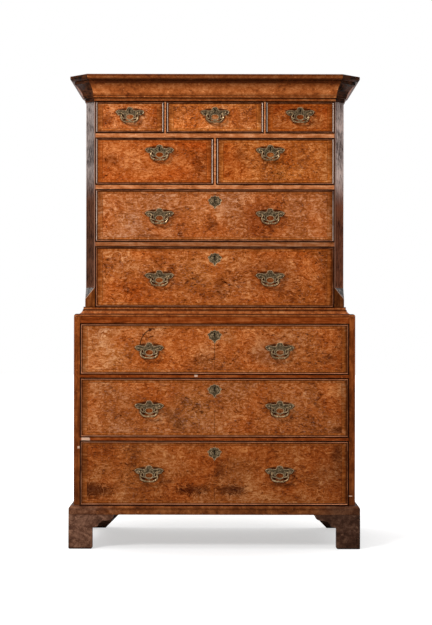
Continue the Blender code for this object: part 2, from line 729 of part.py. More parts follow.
def plate_mesh():
    """Pierced back plate with two ball posts; XZ plane, back at Y = 0, posts on Z = 0."""
    post = POST_SPREAD
    half = [(0, PLATE_RISE), (0.7 * CROWN_HALF, 0.88 * PLATE_RISE), (CROWN_HALF, WING_RISE)]
    half += [(0.58 * post, 0.8 * WING_RISE), (0.92 * post, WING_RISE)]
    half += [(post + 0.5 * WING_REACH, 0.93 * WING_RISE), (post + WING_REACH, 0.43 * WING_RISE)]
    half += [(post + 0.65 * WING_REACH, -0.2 * WING_FALL), (post + 0.25 * WING_REACH, -0.9 * WING_FALL)]
    half += [(0.83 * post, -WING_FALL), (0.69 * post, -0.67 * PLATE_FALL)]
    half += [(0.33 * post, -0.8 * PLATE_FALL), (0, -PLATE_FALL)]
    outlines = [mirrored(half)]
    outlines.append(ellipse(0, -0.5 * PLATE_FALL, MIDDLE_PIERCING_WIDTH, MIDDLE_PIERCING_HEIGHT, 0))
    for side in (-1, 1):
        x = side * 0.64 * post
        lean = -side * SIDE_PIERCING_LEAN
        outlines.append(ellipse(x, -0.36 * PLATE_FALL, SIDE_PIERCING_WIDTH, SIDE_PIERCING_HEIGHT, lean))
    piece = extruded(outlines, PLATE_THICKNESS, PLATE_SMOOTHNESS)
    piece.data.transform(Matrix.Rotation(pi / 2, 4, "X"))
    piece.data.transform(Matrix.Translation((0, -PLATE_THICKNESS / 2, 0)))
    reach = POST_REACH - CLEARANCE
    profile = [(0, reach + BALL_RADIUS)]
    for turn in (pi / 4, 0, -pi / 4):
        profile.append((BALL_RADIUS * cos(turn), reach + BALL_RADIUS * sin(turn)))
    profile += [(NECK_RADIUS, PLATE_THICKNESS / 2), (0, PLATE_THICKNESS / 2)]
    socket_half = (BALL_RADIUS + CUT_MARGIN) / 2
    for side in (-1, 1):
        ball_post = turned(profile, POST_SIDES)
        ball_post.data.transform(Matrix.Rotation(pi / 2, 4, "X"))
        ball_post.location.x = side * post
        join(piece, ball_post)
        inner_end = post - BALL_RADIUS + SOCKET_DEPTH
        bpy.ops.mesh.primitive_cylinder_add(
            vertices=POST_SIDES,
            radius=PIN_RADIUS + CLEARANCE,
            depth=2 * socket_half,
            location=(side * (inner_end - socket_half), -reach, 0),
            rotation=(0, pi / 2, 0),
        )
        cut(piece, bpy.context.object)
    mesh = evaluated_mesh(piece)
    bpy.data.objects.remove(piece)
    mesh.shade_smooth()
    mesh.set_sharp_from_angle(angle=pi / 5)
    return mesh


def bail_mesh():
    """Swan-neck bail in the XZ plane, with its pins on the X axis."""
    ball_inner = POST_SPREAD - BALL_RADIUS
    pin_end = ball_inner + SOCKET_DEPTH - CLEARANCE
    neck = ball_inner - BAIL_SHOULDER
    path = [
        (pin_end, 0, PIN_RADIUS),
        (ball_inner - CLEARANCE, 0, PIN_RADIUS),
        (ball_inner - BAIL_NECK_RADIUS, 0, BAIL_NECK_RADIUS),
        (neck + BAIL_NECK_RADIUS / 2, -BAIL_NECK_RADIUS * 0.75, BAIL_NECK_RADIUS),
        (neck, -0.2 * BAIL_DROP, BAIL_NECK_RADIUS),
        (neck + BAIL_SWELL, -0.42 * BAIL_DROP, BAIL_NECK_RADIUS),
        (neck, -0.75 * BAIL_DROP, BAIL_GRIP_RADIUS),
        (neck - BAIL_TURN, -0.95 * BAIL_DROP, BAIL_GRIP_RADIUS),
        (0, -BAIL_DROP, BAIL_GRIP_RADIUS),
    ]
    whole = path + [(-x, z, radius) for x, z, radius in reversed(path[:-1])]
    curve = bpy.data.curves.new("bail", "CURVE")
    curve.dimensions = "3D"
    curve.bevel_depth = 1.0
    curve.bevel_resolution = 1
    curve.use_fill_caps = True
    spline = curve.splines.new("POLY")
    spline.points.add(len(whole) - 1)
    for point, (x, z, radius) in zip(spline.points, whole):
        point.co = (x, 0, z, 1)
        point.radius = radius
    piece = solid_from_curve(curve)
    mesh = piece.data
    bpy.data.objects.remove(piece)
    mesh.shade_smooth()
    mesh.set_sharp_from_angle(angle=pi / 3)
    return mesh


def drawer(name, middle, width, front, floor, height):
    """A drawer: beaded front, sides, back and raised bottom, open on top."""
    half = width / 2
    bottom = floor + CLEARANCE
    top = bottom + height
    rear = BOARD_BACK - DRAWER_REAR_GAP
    face = front - BEAD_PROUD
    piece = box((middle - half, face, bottom), (middle + half, rear, top))
    shape = bmesh.new()
    shape.from_mesh(piece.data)
    edges = [edge for edge in shape.edges if all(vert.co.y < 0 for vert in edge.verts)]
    bmesh.ops.bevel(shape, geom=edges, offset=BEAD_ROUND, segments=2, profile=0.5, affect="EDGES")
    shape.to_mesh(piece.data)
    shape.free()
    inset = half - BEAD_WIDTH
    field_low = (middle - inset, face - CUT_MARGIN, bottom + BEAD_WIDTH)
    field = box(field_low, (middle + inset, front, top - BEAD_WIDTH))
    inner_half = half - DRAWER_SIDE
    inner_front = front + DRAWER_FRONT
    inner_rear = rear - DRAWER_BACK
    inside_low = (middle - inner_half, inner_front, bottom + DRAWER_BOTTOM_LIFT + DRAWER_BOTTOM)
    inside = box(inside_low, (middle + inner_half, inner_rear, top + CUT_MARGIN))
    under_low = (middle - inner_half, inner_front, bottom - CUT_MARGIN)
    under = box(under_low, (middle + inner_half, rear + CUT_MARGIN, bottom + DRAWER_BOTTOM_LIFT))
    outer = half + CUT_MARGIN
    sides_low = (middle - outer, inner_front + CLEARANCE, top - DRAWER_SIDE_DROP)
    sides = box(sides_low, (middle + outer, rear + CUT_MARGIN, top + CUT_MARGIN))
    back_low = (middle - inner_half, inner_rear - CLEARANCE, top - DRAWER_BACK_DROP)
    back = box(back_low, (middle + inner_half, rear + CUT_MARGIN, top + 2 * CUT_MARGIN))
    for tool in (field, inside, under, sides, back):
        hang(tool, piece)
        cut(piece, tool)
    return finish(piece, name, WALNUT)


def long_drawer(name, mesh, half_opening, front, floor, height):
    """A drawer the full width of its chest, with an escutcheon over its lock."""
    piece = drawer(name, 0, 2 * (half_opening - DRAWER_SIDE_GAP), front, floor, height)
    shield = mesh_object("escutcheon", mesh)
    shield.rotation_euler = (pi / 2, 0, 0)
    depth = front + (ESCUTCHEON_SINK - ESCUTCHEON_PROUD) / 2
    shield.location = (0, depth, floor + CLEARANCE + height - ESCUTCHEON_DROP)
    hang(shield, piece)
    join(piece, shield)
    return piece


def handle(carrier, label, meshes, x, front, z):
    """A back plate on a drawer front, with its bail hung in the posts."""
    plate = mesh_object("plate", meshes[0])
    plate.location = (x, front - CLEARANCE, z)
    bail = mesh_object("bail", meshes[1])
    bail.location = (x, front - POST_REACH, z)
    for piece in (plate, bail):
        hang(piece, carrier)
    finish(plate, f"plate_{label}", BRASS)
    finish(bail, f"bail_{label}", BRASS)


def small_drawers(meshes):
    """Three short drawers over two half-width ones."""
    short_width = UPPER_OPENING_HALF - MIDDLE_DRAWER_WIDTH / 2 - SHORT_DIVIDER - 3 * DRAWER_SIDE_GAP
    short_x = UPPER_OPENING_HALF - DRAWER_SIDE_GAP - short_width / 2
    half_width = UPPER_OPENING_HALF - HALF_DIVIDER / 2 - 2 * DRAWER_SIDE_GAP
    half_x = UPPER_OPENING_HALF - DRAWER_SIDE_GAP - half_width / 2
    top_row = ("1", ROW_1_FLOOR, ROW_1_HEIGHT, ROW_1_RISE)
    second_row = ("2", ROW_2_FLOOR, ROW_2_HEIGHT, ROW_2_RISE)
    drawers = [
        (top_row, "left", -short_x, short_width, -short_x),
        (top_row, "middle", 0, MIDDLE_DRAWER_WIDTH, 0),
        (top_row, "right", short_x, short_width, short_x),
        (second_row, "left", -half_x, half_width, -HANDLE_SPREAD_UPPER),
        (second_row, "right", half_x, half_width, HANDLE_SPREAD_UPPER),
    ]
    for (row, floor, height, rise), place, middle, width, handle_x in drawers:
        label = f"{row}_{place}"
        piece = drawer(f"drawer_{label}", middle, width, UPPER_FRONT, floor, height)
        handle(piece, label, meshes, handle_x, UPPER_FRONT, floor + CLEARANCE + height / 2 + rise)


def long_drawers(meshes):
    """The two long drawers of the upper chest and the three of the lower one."""
    upper = (UPPER_OPENING_HALF, UPPER_FRONT, HANDLE_SPREAD_UPPER)
    lower = (LOWER_OPENING_HALF, LOWER_FRONT, HANDLE_SPREAD_LOWER)
    rows = [
        ("3", upper, ROW_3_FLOOR, ROW_3_HEIGHT, ROW_3_RISE),
        ("4", upper, ROW_4_FLOOR, ROW_4_HEIGHT, ROW_4_RISE),
        ("5", lower, ROW_5_FLOOR, ROW_5_HEIGHT, ROW_5_RISE),
        ("6", lower, ROW_6_FLOOR, ROW_6_HEIGHT, ROW_6_RISE),
        ("7", lower, ROW_7_FLOOR, ROW_7_HEIGHT, ROW_7_RISE),
    ]
    shield = escutcheon_mesh()
    for row, (half_opening, front, spread), floor, height, rise in rows:
        piece = long_drawer(f"drawer_{row}", shield.data, half_opening, front, floor, height)
        for place, side in (("left", -1), ("right", 1)):
            z = floor + CLEARANCE + height / 2 + rise
            handle(piece, f"{row}_{place}", meshes, side * spread, front, z)
    bpy.data.objects.remove(shield)


def build():
    """Put the whole chest together."""
    for side, hand in ((-1, "left"), (1, "right")):
        foot(f"front_{hand}_foot", side, True)
        foot(f"rear_{hand}_foot", side, False)
        lower_side(f"lower_{hand}_side", side)
        upper_side(f"upper_{hand}_side", side)
        pilaster(f"{hand}_fluted_pilaster", side)
    base()
    lower_rail("lower_rail_6", ROW_6_FLOOR)
    lower_rail("lower_rail_5", ROW_5_FLOOR)
    lower_top()
    back_boards("lower_back", LOWER_OPENING_HALF - CLEARANCE, ROW_7_FLOOR + CLEARANCE, LOWER_CASE_TOP)
    notches = [post_notch(side) for side in (-1, 1)]
    upper_rail("upper_bottom", ROW_4_FLOOR, UPPER_BOTTOM, notches)
    upper_rail("upper_rail_3", ROW_3_FLOOR, UPPER_RAIL, notches)
    divider_frame(notches)
    back_boards("upper_back", UPPER_INNER_HALF - CLEARANCE, UPPER_FOOT, UPPER_CASE_TOP)
    cornice()
    meshes = (plate_mesh(), bail_mesh())
    small_drawers(meshes)
    long_drawers(meshes)


build()
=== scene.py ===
"""Walnut chest-on-chest: its veneers, mouldings, linings and brasses, standing in a pale studio."""

from math import atan, cos, hypot, pi, radians, sin, sqrt

import bmesh
import bpy
from mathutils import Matrix, Vector


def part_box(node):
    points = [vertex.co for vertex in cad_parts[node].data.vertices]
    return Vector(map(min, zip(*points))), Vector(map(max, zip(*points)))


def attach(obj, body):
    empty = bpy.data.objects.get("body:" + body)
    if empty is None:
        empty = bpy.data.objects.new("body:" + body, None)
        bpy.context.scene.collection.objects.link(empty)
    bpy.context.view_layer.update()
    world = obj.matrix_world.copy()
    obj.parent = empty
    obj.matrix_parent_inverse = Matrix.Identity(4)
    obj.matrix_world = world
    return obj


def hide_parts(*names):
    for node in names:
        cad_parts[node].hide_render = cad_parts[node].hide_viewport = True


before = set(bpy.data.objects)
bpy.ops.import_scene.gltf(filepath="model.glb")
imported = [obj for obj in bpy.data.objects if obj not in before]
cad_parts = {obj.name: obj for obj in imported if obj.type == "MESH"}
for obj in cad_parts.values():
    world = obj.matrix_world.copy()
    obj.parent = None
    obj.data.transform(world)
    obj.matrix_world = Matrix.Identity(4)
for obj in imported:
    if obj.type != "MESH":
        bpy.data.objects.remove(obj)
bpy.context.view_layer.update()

# Faces of the frame
LOWER_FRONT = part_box("lower_left_side")[0].y
UPPER_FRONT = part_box("left_fluted_pilaster")[0].y
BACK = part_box("lower_left_side")[1].y
LOWER_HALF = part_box("lower_right_side")[1].x
UPPER_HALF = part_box("upper_right_side")[1].x
OPENING_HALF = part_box("right_fluted_pilaster")[0].x
CORNICE_LOW, CORNICE_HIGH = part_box("cornice")
BASE_LOW, BASE_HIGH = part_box("base_moulding_and_bottom")
WAIST_LOW, WAIST_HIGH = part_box("lower_top_and_waist_moulding")
FIT = 0.0003

# Bracket feet
FOOT_BOARD = 0.020
FOOT_WIDTH = 0.088
FOOT_CHAMFER = 0.005
FOOT_STEP = (0.107, 0.0825)
FOOT_STEP_DROP = 0.006
FOOT_HOLLOW = (0.131, 0.1030)
FOOT_NOSE = (0.149, 0.1045)
FOOT_ROUND_RUN = 0.017
FOOT_BOW = 0.005
REAR_FOOT_WIDTH = 0.097
RIGHT_FOOT_TRIM = 0.014
REAR_FOOT_RUN = 0.124
GLUE_BLOCK = 0.045
GLUE_BLOCK_CLEAR = 0.010

# Base moulding and the board that it edges
BASE_FACE = 0.0185
BASE_LIP = 0.002
BASE_BOW = 0.005
BASE_INSET = 0.0575
BOTTOM_THICKNESS = 0.018
BACK_REBATE = 0.011

# Waist moulding round the foot of the upper chest
TOP_EDGE = 0.0098
TOP_EDGE_SQUARE = 0.0025
TOP_EDGE_ROUND = 0.012
WAIST_STEP = 0.005
WAIST_BOW = 0.003
WAIST_FILLET = 0.0095
WAIST_FILLET_STEP = 0.002
WAIST_LIP = 0.006
TOP_RAIL = 0.0262
TOP_RAIL_DEPTH = 0.060
TOP_INSET = 0.090

# Heights of the cornice members, from its foot, and how far they stand out
FRIEZE = (0.0135, 0.004)
BEAD = (0.0195, 0.007)
CAVETTO = (0.0635, 0.040)
FILLET = (0.0735, 0.042)
CROWN = (0.0895, 0.058)

# Its steps and curves, and the board that closes it
MEMBER_STEP = 0.004
BEAD_BOW = 0.0025
CAVETTO_BOW = 0.005
CROWN_BOW = 0.004
CORNICE_INSET = 0.060
CORNICE_TOP = 0.012
DUST_BOARD = (0.010, 0.002)

# Fluted corners, and the mitre of a moulding that turns their cant
CANT = 0.035
STOP_BLOCK = 0.038
STOP_RUN = 0.044
FLUTES = 4
FLUTE_BORDER = 0.0035
FLUTE_FILLET = 0.0024
FLUTE_DEPTH = 0.0032
FLUTE_START = 0.004
FLUTE_RUN_ON = 0.010
CANT_WASTE = 0.1
MITRE = sqrt(2) - 1
STOP_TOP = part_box("left_fluted_pilaster")[0].z + STOP_BLOCK + STOP_RUN

# Drawers
FRONT_THICKNESS = 0.020
BEAD_WIDTH = 0.004
BEAD_PROUD = 0.0025
BEAD_ROUND = 0.0017
LINING = 0.011
LAP = 0.006
BOTTOM_LIFT = 0.008
BOTTOM_BOARD = 0.007
BOTTOM_SHORT = 0.0005
SIDE_DROP = 0.004
BACK_DROP = 0.012
TAIL_PITCH = 0.042
TAIL_FLARE = 1.45
TAIL_PLAY = 0.0001
END_BAND = 0.024
EDGE_BAND = 0.0145

# Locks inside the fronts
LOCK_HALF = 0.034
LOCK_TOP = 0.006
LOCK_BOTTOM = 0.052
LOCK_PLATE = 0.0025
LOCK_CASE = (0.008, 0.006)
LOCK_CAP = (0.004, 0.0012)
KEYHOLE_EYE = 0.0030
KEYHOLE_SLOT = 0.0014
KEYHOLE_FALL = 0.013
KEYHOLE_START = 0.002
KEYHOLE_DEPTH = 0.014

# Nails in the backs
NAIL_ROWS = (0.03, 0.5, 0.97)
NAIL_RADIUS = 0.0034
NAIL_FLAT = 0.0020
NAIL_HEAD = 0.0012
NAIL_BEVEL = 0.0002
BACK_PLANKS = 4

# Widths of eased edges
BOARD_EASE = 0.0008
FOOT_EASE = 0.0009
BLOCK_EASE = 0.003
FINE_EASE = 0.0006
POST_EASE = 0.0005
LINING_EASE = 0.0004
BRASS_EASE = 0.0003

# Brasses
POST_SPREAD = 0.039
POST_REACH = 0.017
BALL = 0.005
PLATE_THICKNESS = 0.0018
PLATE_FALL = 0.029
BAIL_DROP = 0.035
PIN_RADIUS = 0.0014
NECK_RADIUS = 0.0021
GRIP_RADIUS = 0.0031
RIM_WIDTH = 0.0014
RIM_DEPTH = 0.0009
TOOL_DEPTH = 0.02
ESCUTCHEON_DROP = 0.043
ESCUTCHEON_HOLE = 0.008
ESCUTCHEON_THICKNESS = 0.0015
SHORT_LOCK_RISE = 0.012

# Drawer rows, counted from the top
UPPER_ROWS = "1234"
LOWER_ROWS = "567"
LONG_ROWS = "34567"

# Shades of wood and metal, from dark to light, and the levels at which they lie
PINE_SHADES = ((0.20, 0.105, 0.045), (0.33, 0.195, 0.095), (0.42, 0.27, 0.14))
PINE_LEVELS = (0.3, 0.5, 0.7)
OAK_SHADES = ((0.17, 0.095, 0.042), (0.29, 0.180, 0.088), (0.39, 0.26, 0.14))
RAIL_SHADES = ((0.14, 0.036, 0.009), (0.48, 0.150, 0.046), (0.78, 0.370, 0.180))
MOULDING_SHADES = ((0.121, 0.025, 0.006), (0.441, 0.112, 0.022), (0.750, 0.280, 0.092))
LOWER_RAIL_SHADES = ((0.067, 0.012, 0.001), (0.221, 0.040, 0.005), (0.442, 0.128, 0.033))
STILE_SHADES = ((0.055, 0.011, 0.0015), (0.190, 0.040, 0.006), (0.415, 0.113, 0.024))
BASE_SHADES = ((0.039, 0.009, 0.002), (0.195, 0.051, 0.011), (0.375, 0.130, 0.038))
FOOT_SHADES = ((0.018, 0.007, 0.004), (0.112, 0.047, 0.027), (0.32, 0.160, 0.098))
WALNUT_LEVELS = (0.10, 0.48, 0.90)
# Flutes from dark to their painted sheen, and the stop painted pale grey as if lit from above
FLUTE_SHEEN_SHADES = ((0.024, 0.012, 0.009), (0.215, 0.132, 0.102))
STOP_LIT_SHADES = ((0.030, 0.024, 0.021), (0.270, 0.245, 0.235))
# The cornice's canted corners in painted shade
CANT_SHADOW_SHADES = ((0.006, 0.0020, 0.0009), (0.075, 0.022, 0.007))
BRASS_SHADES = ((0.016, 0.010, 0.004), (0.100, 0.062, 0.027), (0.66, 0.470, 0.260))
IRON_SHADES = ((0.03, 0.026, 0.022), (0.10, 0.09, 0.08), (0.22, 0.20, 0.18))
BURR_STOPS = (
    (0.04, (0.060, 0.010, 0.001)),
    (0.31, (0.230, 0.050, 0.007)),
    (0.52, (0.415, 0.104, 0.016)),
    (0.92, (0.780, 0.370, 0.155)),
)

# Shades of dirt, dust, scratches, joints and chips, of painted shadow in gaps, quirks and keyholes, of
# painted glints, and of painted highlights on beads and edges
GAP_SHADOW = (0.014, 0.0020, 0.0003)
EDGE_DARK_AND_QUIRK_SHADOW = (0.030, 0.006, 0.0012)
HANDLE_DIRT_AND_SHADOW = (0.030, 0.007, 0.002)
KEYHOLE_SHADOW = (0.004, 0.002, 0.001)
SCRATCH_SHADE = (0.045, 0.012, 0.004)
JOINT_SHADE = (0.050, 0.012, 0.003)
BAND_LINE_SHADE = (0.07, 0.016, 0.003)
DUST_AND_GLINT_SHADE = (0.70, 0.43, 0.27)
CHIP_SHADE = (0.66, 0.400, 0.270)
BEAD_SHADE = (0.110, 0.028, 0.007)
# Colours of the painted highlights on the beads
PALE_BEAD_HIGHLIGHT = (0.80, 0.600, 0.480)
WARM_BEAD_HIGHLIGHT = (0.70, 0.275, 0.130)
# Painted highlights on the edges of the corner posts
FLUTE_EDGE_HIGHLIGHT = (0.24, 0.120, 0.078)
STOP_EDGE_HIGHLIGHT = (0.36, 0.225, 0.160)
POST_EDGE_HIGHLIGHT = (0.30, 0.130, 0.075)

# Tints, which multiply the colour under them
WARM_TINT = (1.06, 0.84, 0.58)
COOL_TINT = (0.93, 1.02, 1.25)
LOW_BAND_TINT = (1.30, 1.38, 1.45)
DARKENING_TINT = (0.25, 0.18, 0.15)
KNOT_TINT = (0.35, 0.3, 0.3)
DEAL_DIRT_TINT = (0.6, 0.6, 0.65)
DARK_STAIN = (0.22, 0.16, 0.14)
GREY_STAIN = (0.52, 0.72, 1.10)
# pale bluish patches of painted sheen
PALE_SHEEN = (1.25, 1.70, 2.30)
WARM_STAIN = (0.55, 0.42, 0.36)

# Tints of the left and right posts: their flutes low down and high up, which paint a haze of reflection high
# up and lighten the right post out of its shade, and their blocks
FLUTE_LIGHT_TINTS = (((0.52, 0.32, 0.21), (1.52, 2.00, 2.35)), ((1.28, 0.67, 0.40), (4.10, 5.30, 6.20)))
BLOCK_TONES = ((0.74, 0.84, 0.95), (0.44, 0.52, 0.64))

# Heights between which the flutes go from their low tint to their high one, with its painted haze of
# reflection
HAZE_RISE = (1.27, 1.41)

# Polish and relief of the walnut
WALNUT_ROUGHNESS = 0.36
WAX = 0.03
WAX_SHINE = 0.03
WOOD_RELIEF = 0.0004
RAIL_GRAIN = (14, 150, 150)
RAIL_VENEER = 0.004
# How far either way the painted shade towards the right reaches
RIGHT_SHADE_REACH = 0.50

# Painted lines: the distances at which each one starts and is full
EDGE_FADE = 0.0001
# Where the painted shadow of the gaps lies, on the fronts and on the case
GAP_RIMS = (0.0023, 0.0014)
CASE_GAP_RIMS = (0.0040, 0.0024)
QUIRK = 0.0013
QUIRK_RIMS = (0.0027, 0.0012)
BAND_JOINT = 0.0003
BAND_LINE_RIMS = (0.0015, 0.0006)
JOINT_RIMS = (0.0022, 0.0008)
SCRATCH_RIMS = (0.0028, 0.0012)
SCRATCH_FADE = 0.010

# Dirt and painted shadow round the back plates, painted shadow in the keyholes, and the veneer over the
# groundwork
HALO_WINGS = (0.049, 0.015)
HALO_WINGS_RISE = 0.002
HALO_BOWL = (0.034, 0.029)
HALO_BOWL_DROP = 0.012
FAINT_MIDDLE = (0.010, 0.019)
HOLE_SIZE = (0.016, 0.012)
HOLE_DROP = 0.005
HOLE_DEPTH = 0.020
VENEER_DEPTH = 0.0052

# Tint of each drawer front, and the part of the tree that its veneer comes from
FIRST_SEED = 1.9
SEED_STEP = 3.7
TONES = {
    "1_left": (1.08, 1.09, 1.18),
    "1_middle": (1.33, 1.45, 1.58),
    "1_right": (0.94, 0.76, 0.53),
    "2_left": (0.99, 0.78, 0.56),
    "2_right": (1.10, 1.07, 0.90),
    "3": (0.95, 0.99, 1.17),
    "4": (0.98, 0.94, 0.88),
    "5": (0.93, 0.94, 0.96),
    "6": (0.85, 0.86, 0.89),
    "7": (0.72, 0.69, 0.62),
}

# Painted highlights on the bead of each row: how strong they are at its left, right, top and bottom, and the
# colour of the highlight on its ends
BEAD_HIGHLIGHTS = {
    "1": (1.25, 1.25, 0.15, 0.25, PALE_BEAD_HIGHLIGHT),
    "2": (1.10, 1.10, 0.10, 0.30, PALE_BEAD_HIGHLIGHT),
    "3": (0.80, 0.45, 0.30, 0.35, PALE_BEAD_HIGHLIGHT),
    "4": (0.50, 0.10, 0.20, 0.40, WARM_BEAD_HIGHLIGHT),
    "5": (0.75, 0.15, 0.70, 0.65, WARM_BEAD_HIGHLIGHT),
    "6": (0.40, 0.05, 0.80, 0.65, WARM_BEAD_HIGHLIGHT),
    "7": (0.40, 0.05, 0.80, 0.85, WARM_BEAD_HIGHLIGHT),
}

# How much darker each row's fronts are towards their right end
RIGHT_END_DARKENING = {"1": 0.25, "2": 0.30, "3": 0.25, "4": 0.75, "5": 0.75, "6": 0.78, "7": 0.75}

# Marks on the fronts: middle across and up, half width, half height, strength and tint: stains, and pale
# patches of painted sheen
MARKS = {
    "1_left": [(-0.395, 1.580, 0.045, 0.030, 0.35, DARK_STAIN)],
    "1_middle": [(0.090, 1.580, 0.085, 0.060, 0.45, WARM_STAIN)],
    "1_right": [(0.375, 1.570, 0.040, 0.022, 0.35, DARK_STAIN)],
    "2_left": [
        (-0.385, 1.430, 0.040, 0.030, 0.40, DARK_STAIN),
        (-0.060, 1.410, 0.030, 0.040, 0.45, DARK_STAIN),
    ],
    "2_right": [
        (0.090, 1.445, 0.030, 0.030, 0.35, DARK_STAIN),
        (0.270, 1.385, 0.070, 0.040, 0.50, PALE_SHEEN),
        (0.065, 1.420, 0.085, 0.090, 0.60, WARM_STAIN),
    ],
    "3": [
        (-0.006, 1.192, 0.024, 0.030, 0.55, DARK_STAIN),
        (-0.235, 1.150, 0.060, 0.010, 0.50, DARK_STAIN),
        (-0.330, 1.210, 0.060, 0.040, 0.25, PALE_SHEEN),
        (-0.060, 1.225, 0.080, 0.080, 0.35, PALE_SHEEN),
        (0.165, 1.215, 0.100, 0.090, 0.60, WARM_STAIN),
    ],
    "4": [
        (-0.075, 0.990, 0.012, 0.007, 0.80, DARK_STAIN),
        (0.020, 0.965, 0.030, 0.050, 0.40, DARK_STAIN),
        (-0.060, 1.010, 0.080, 0.090, 0.30, PALE_SHEEN),
        (0.205, 1.000, 0.150, 0.110, 0.50, WARM_STAIN),
    ],
    "5": [
        (-0.055, 0.690, 0.060, 0.028, 0.35, DARK_STAIN),
        (-0.360, 0.715, 0.110, 0.060, 0.40, PALE_SHEEN),
        (0.445, 0.740, 0.016, 0.004, 0.75, DARK_STAIN),
        (0.425, 0.690, 0.030, 0.024, 0.45, DARK_STAIN),
        (0.185, 0.725, 0.105, 0.090, 0.50, WARM_STAIN),
    ],
    "6": [
        (-0.165, 0.490, 0.050, 0.030, 0.40, GREY_STAIN),
        (-0.130, 0.455, 0.040, 0.030, 0.45, GREY_STAIN),
        (-0.046, 0.500, 0.010, 0.008, 0.70, DARK_STAIN),
        (0.455, 0.430, 0.030, 0.020, 0.60, DARK_STAIN),
        (-0.065, 0.515, 0.085, 0.090, 0.40, PALE_SHEEN),
    ],
    "7": [
        (-0.088, 0.214, 0.080, 0.026, 0.85, DARK_STAIN),
        (0.068, 0.214, 0.070, 0.026, 0.80, DARK_STAIN),
        (-0.438, 0.213, 0.085, 0.034, 0.92, DARK_STAIN),
        (-0.170, 0.245, 0.040, 0.012, 0.60, DARK_STAIN),
        (0.240, 0.235, 0.060, 0.010, 0.55, DARK_STAIN),
        (0.450, 0.350, 0.030, 0.040, 0.55, DARK_STAIN),
        (0.020, 0.290, 0.025, 0.050, 0.45, DARK_STAIN),
        (0.470, 0.306, 0.0022, 0.055, 0.55, PALE_SHEEN),
        (-0.310, 0.300, 0.120, 0.100, 0.35, PALE_SHEEN),
        (0.420, 0.290, 0.100, 0.120, 0.40, WARM_STAIN),
    ],
}

# Curved scratches: centre across and up, radius, and where they start on a line to the upper left
SCRATCHES = {"5": [(-0.205, 0.742, 0.069, 0.030)]}

# Chips in the rails and stiles: middle across and up, half width and half height
RAIL_CHIPS = [(-0.474, 0.4010, 0.015, 0.0056), (-0.068, 0.6335, 0.006, 0.0040)]
STILE_CHIPS = [
    (0.500, 0.1926, 0.007, 0.0016),
    (0.489, 0.1690, 0.002, 0.0045),
    (-0.499, 0.3700, 0.004, 0.0045),
]

# Studio
PAPER_SHADE = (0.50, 0.50, 0.50)
PAPER_SIZE = 30
CAMERA_LENS = 86.25
CAMERA_DISTANCE = 5.5
CAMERA_ACROSS = 0.005
CAMERA_HEIGHT = 0.866
CAMERA_ROLL = -0.10


def only(piece):
    """Leave one piece selected and active, out of edit mode."""
    if bpy.context.mode != "OBJECT":
        bpy.ops.object.mode_set(mode="OBJECT")
    bpy.ops.object.select_all(action="DESELECT")
    piece.select_set(True)
    bpy.context.view_layer.objects.active = piece


def added(name):
    """Name the piece just added and put its place and size into its mesh."""
    piece = bpy.context.object
    piece.name = name
    piece.data.name = name
    bpy.ops.object.transform_apply(location=True, rotation=True, scale=True)
    return piece


def pick(piece, kind, test):
    """Open a piece in edit mode with only those faces, edges or points selected that pass a test."""
    only(piece)
    bpy.ops.object.mode_set(mode="EDIT")
    bpy.ops.mesh.select_mode(type=kind)
    bpy.ops.mesh.select_all(action="DESELECT")
    shape = bmesh.from_edit_mesh(piece.data)
    for item in {"FACE": shape.faces, "EDGE": shape.edges, "VERT": shape.verts}[kind]:
        if test(item):
            item.select_set(True)
    shape.select_flush_mode()
    bmesh.update_edit_mesh(piece.data)


def push(depth):
    """Extrude what is selected along Y."""
    bpy.ops.mesh.extrude_region_move(TRANSFORM_OT_translate={"value": (0, depth, 0)})


def close_up(piece):
    """Turn all faces of a closed piece outwards and leave edit mode."""
    only(piece)
    bpy.ops.object.mode_set(mode="EDIT")
    bpy.ops.mesh.select_all(action="SELECT")
    bpy.ops.mesh.normals_make_consistent(inside=False)
    bpy.ops.object.mode_set(mode="OBJECT")


def worked(piece, kind, **settings):
    """Add a modifier to a piece and apply it."""
    only(piece)
    modifier = piece.modifiers.new(kind.lower(), kind)
    for key, value in settings.items():
        setattr(modifier, key, value)
    bpy.ops.object.modifier_apply(modifier=modifier.name)


def soften(piece, width=BOARD_EASE, segments=2, smooth=40):
    """Ease the sharp edges of a piece and shade it."""
    worked(
        piece,
        "BEVEL",
        width=width,
        segments=segments,
        limit_method="ANGLE",
        angle_limit=radians(38),
        miter_outer="MITER_ARC",
    )
    bpy.ops.object.shade_smooth_by_angle(angle=radians(smooth))
    worked(piece, "WEIGHTED_NORMAL", keep_sharp=True, weight=80)
    return piece


def cut(piece, *tools):
    """Cut tools out of a piece and put them away."""
    for tool in tools:
        worked(piece, "BOOLEAN", operation="DIFFERENCE", solver="EXACT", object=tool)
        bpy.data.objects.remove(tool)
    return piece


def joined(piece, *others):
    """Make several meshes one piece."""
    only(piece)
    for other in others:
        other.select_set(True)
    bpy.ops.object.join()
    return piece


def copied(piece, name, shift):
    """A copy of a piece with a mesh of its own, moved by a step."""
    copy = bpy.data.objects.new(name, piece.data.copy())
    copy.data.name = name
    copy.data.transform(Matrix.Translation(shift))
    bpy.context.scene.collection.objects.link(copy)
    return copy


def fit(piece, body, finish, slot, *nodes):
    """Give a finished piece its finish and its body, and hide the frame nodes it stands for."""
    piece.data.materials.clear()
    piece.data.materials.append(finish)
    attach(piece, body)
    if nodes:
        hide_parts(*nodes)
    return piece


def block(name, low, high):
    """A squared piece of stuff between two corners."""
    low, high = Vector(low), Vector(high)
    bpy.ops.object.select_all(action="DESELECT")
    bpy.ops.mesh.primitive_cube_add(size=1, location=(low + high) / 2)
    bpy.context.object.scale = high - low
    return added(name)


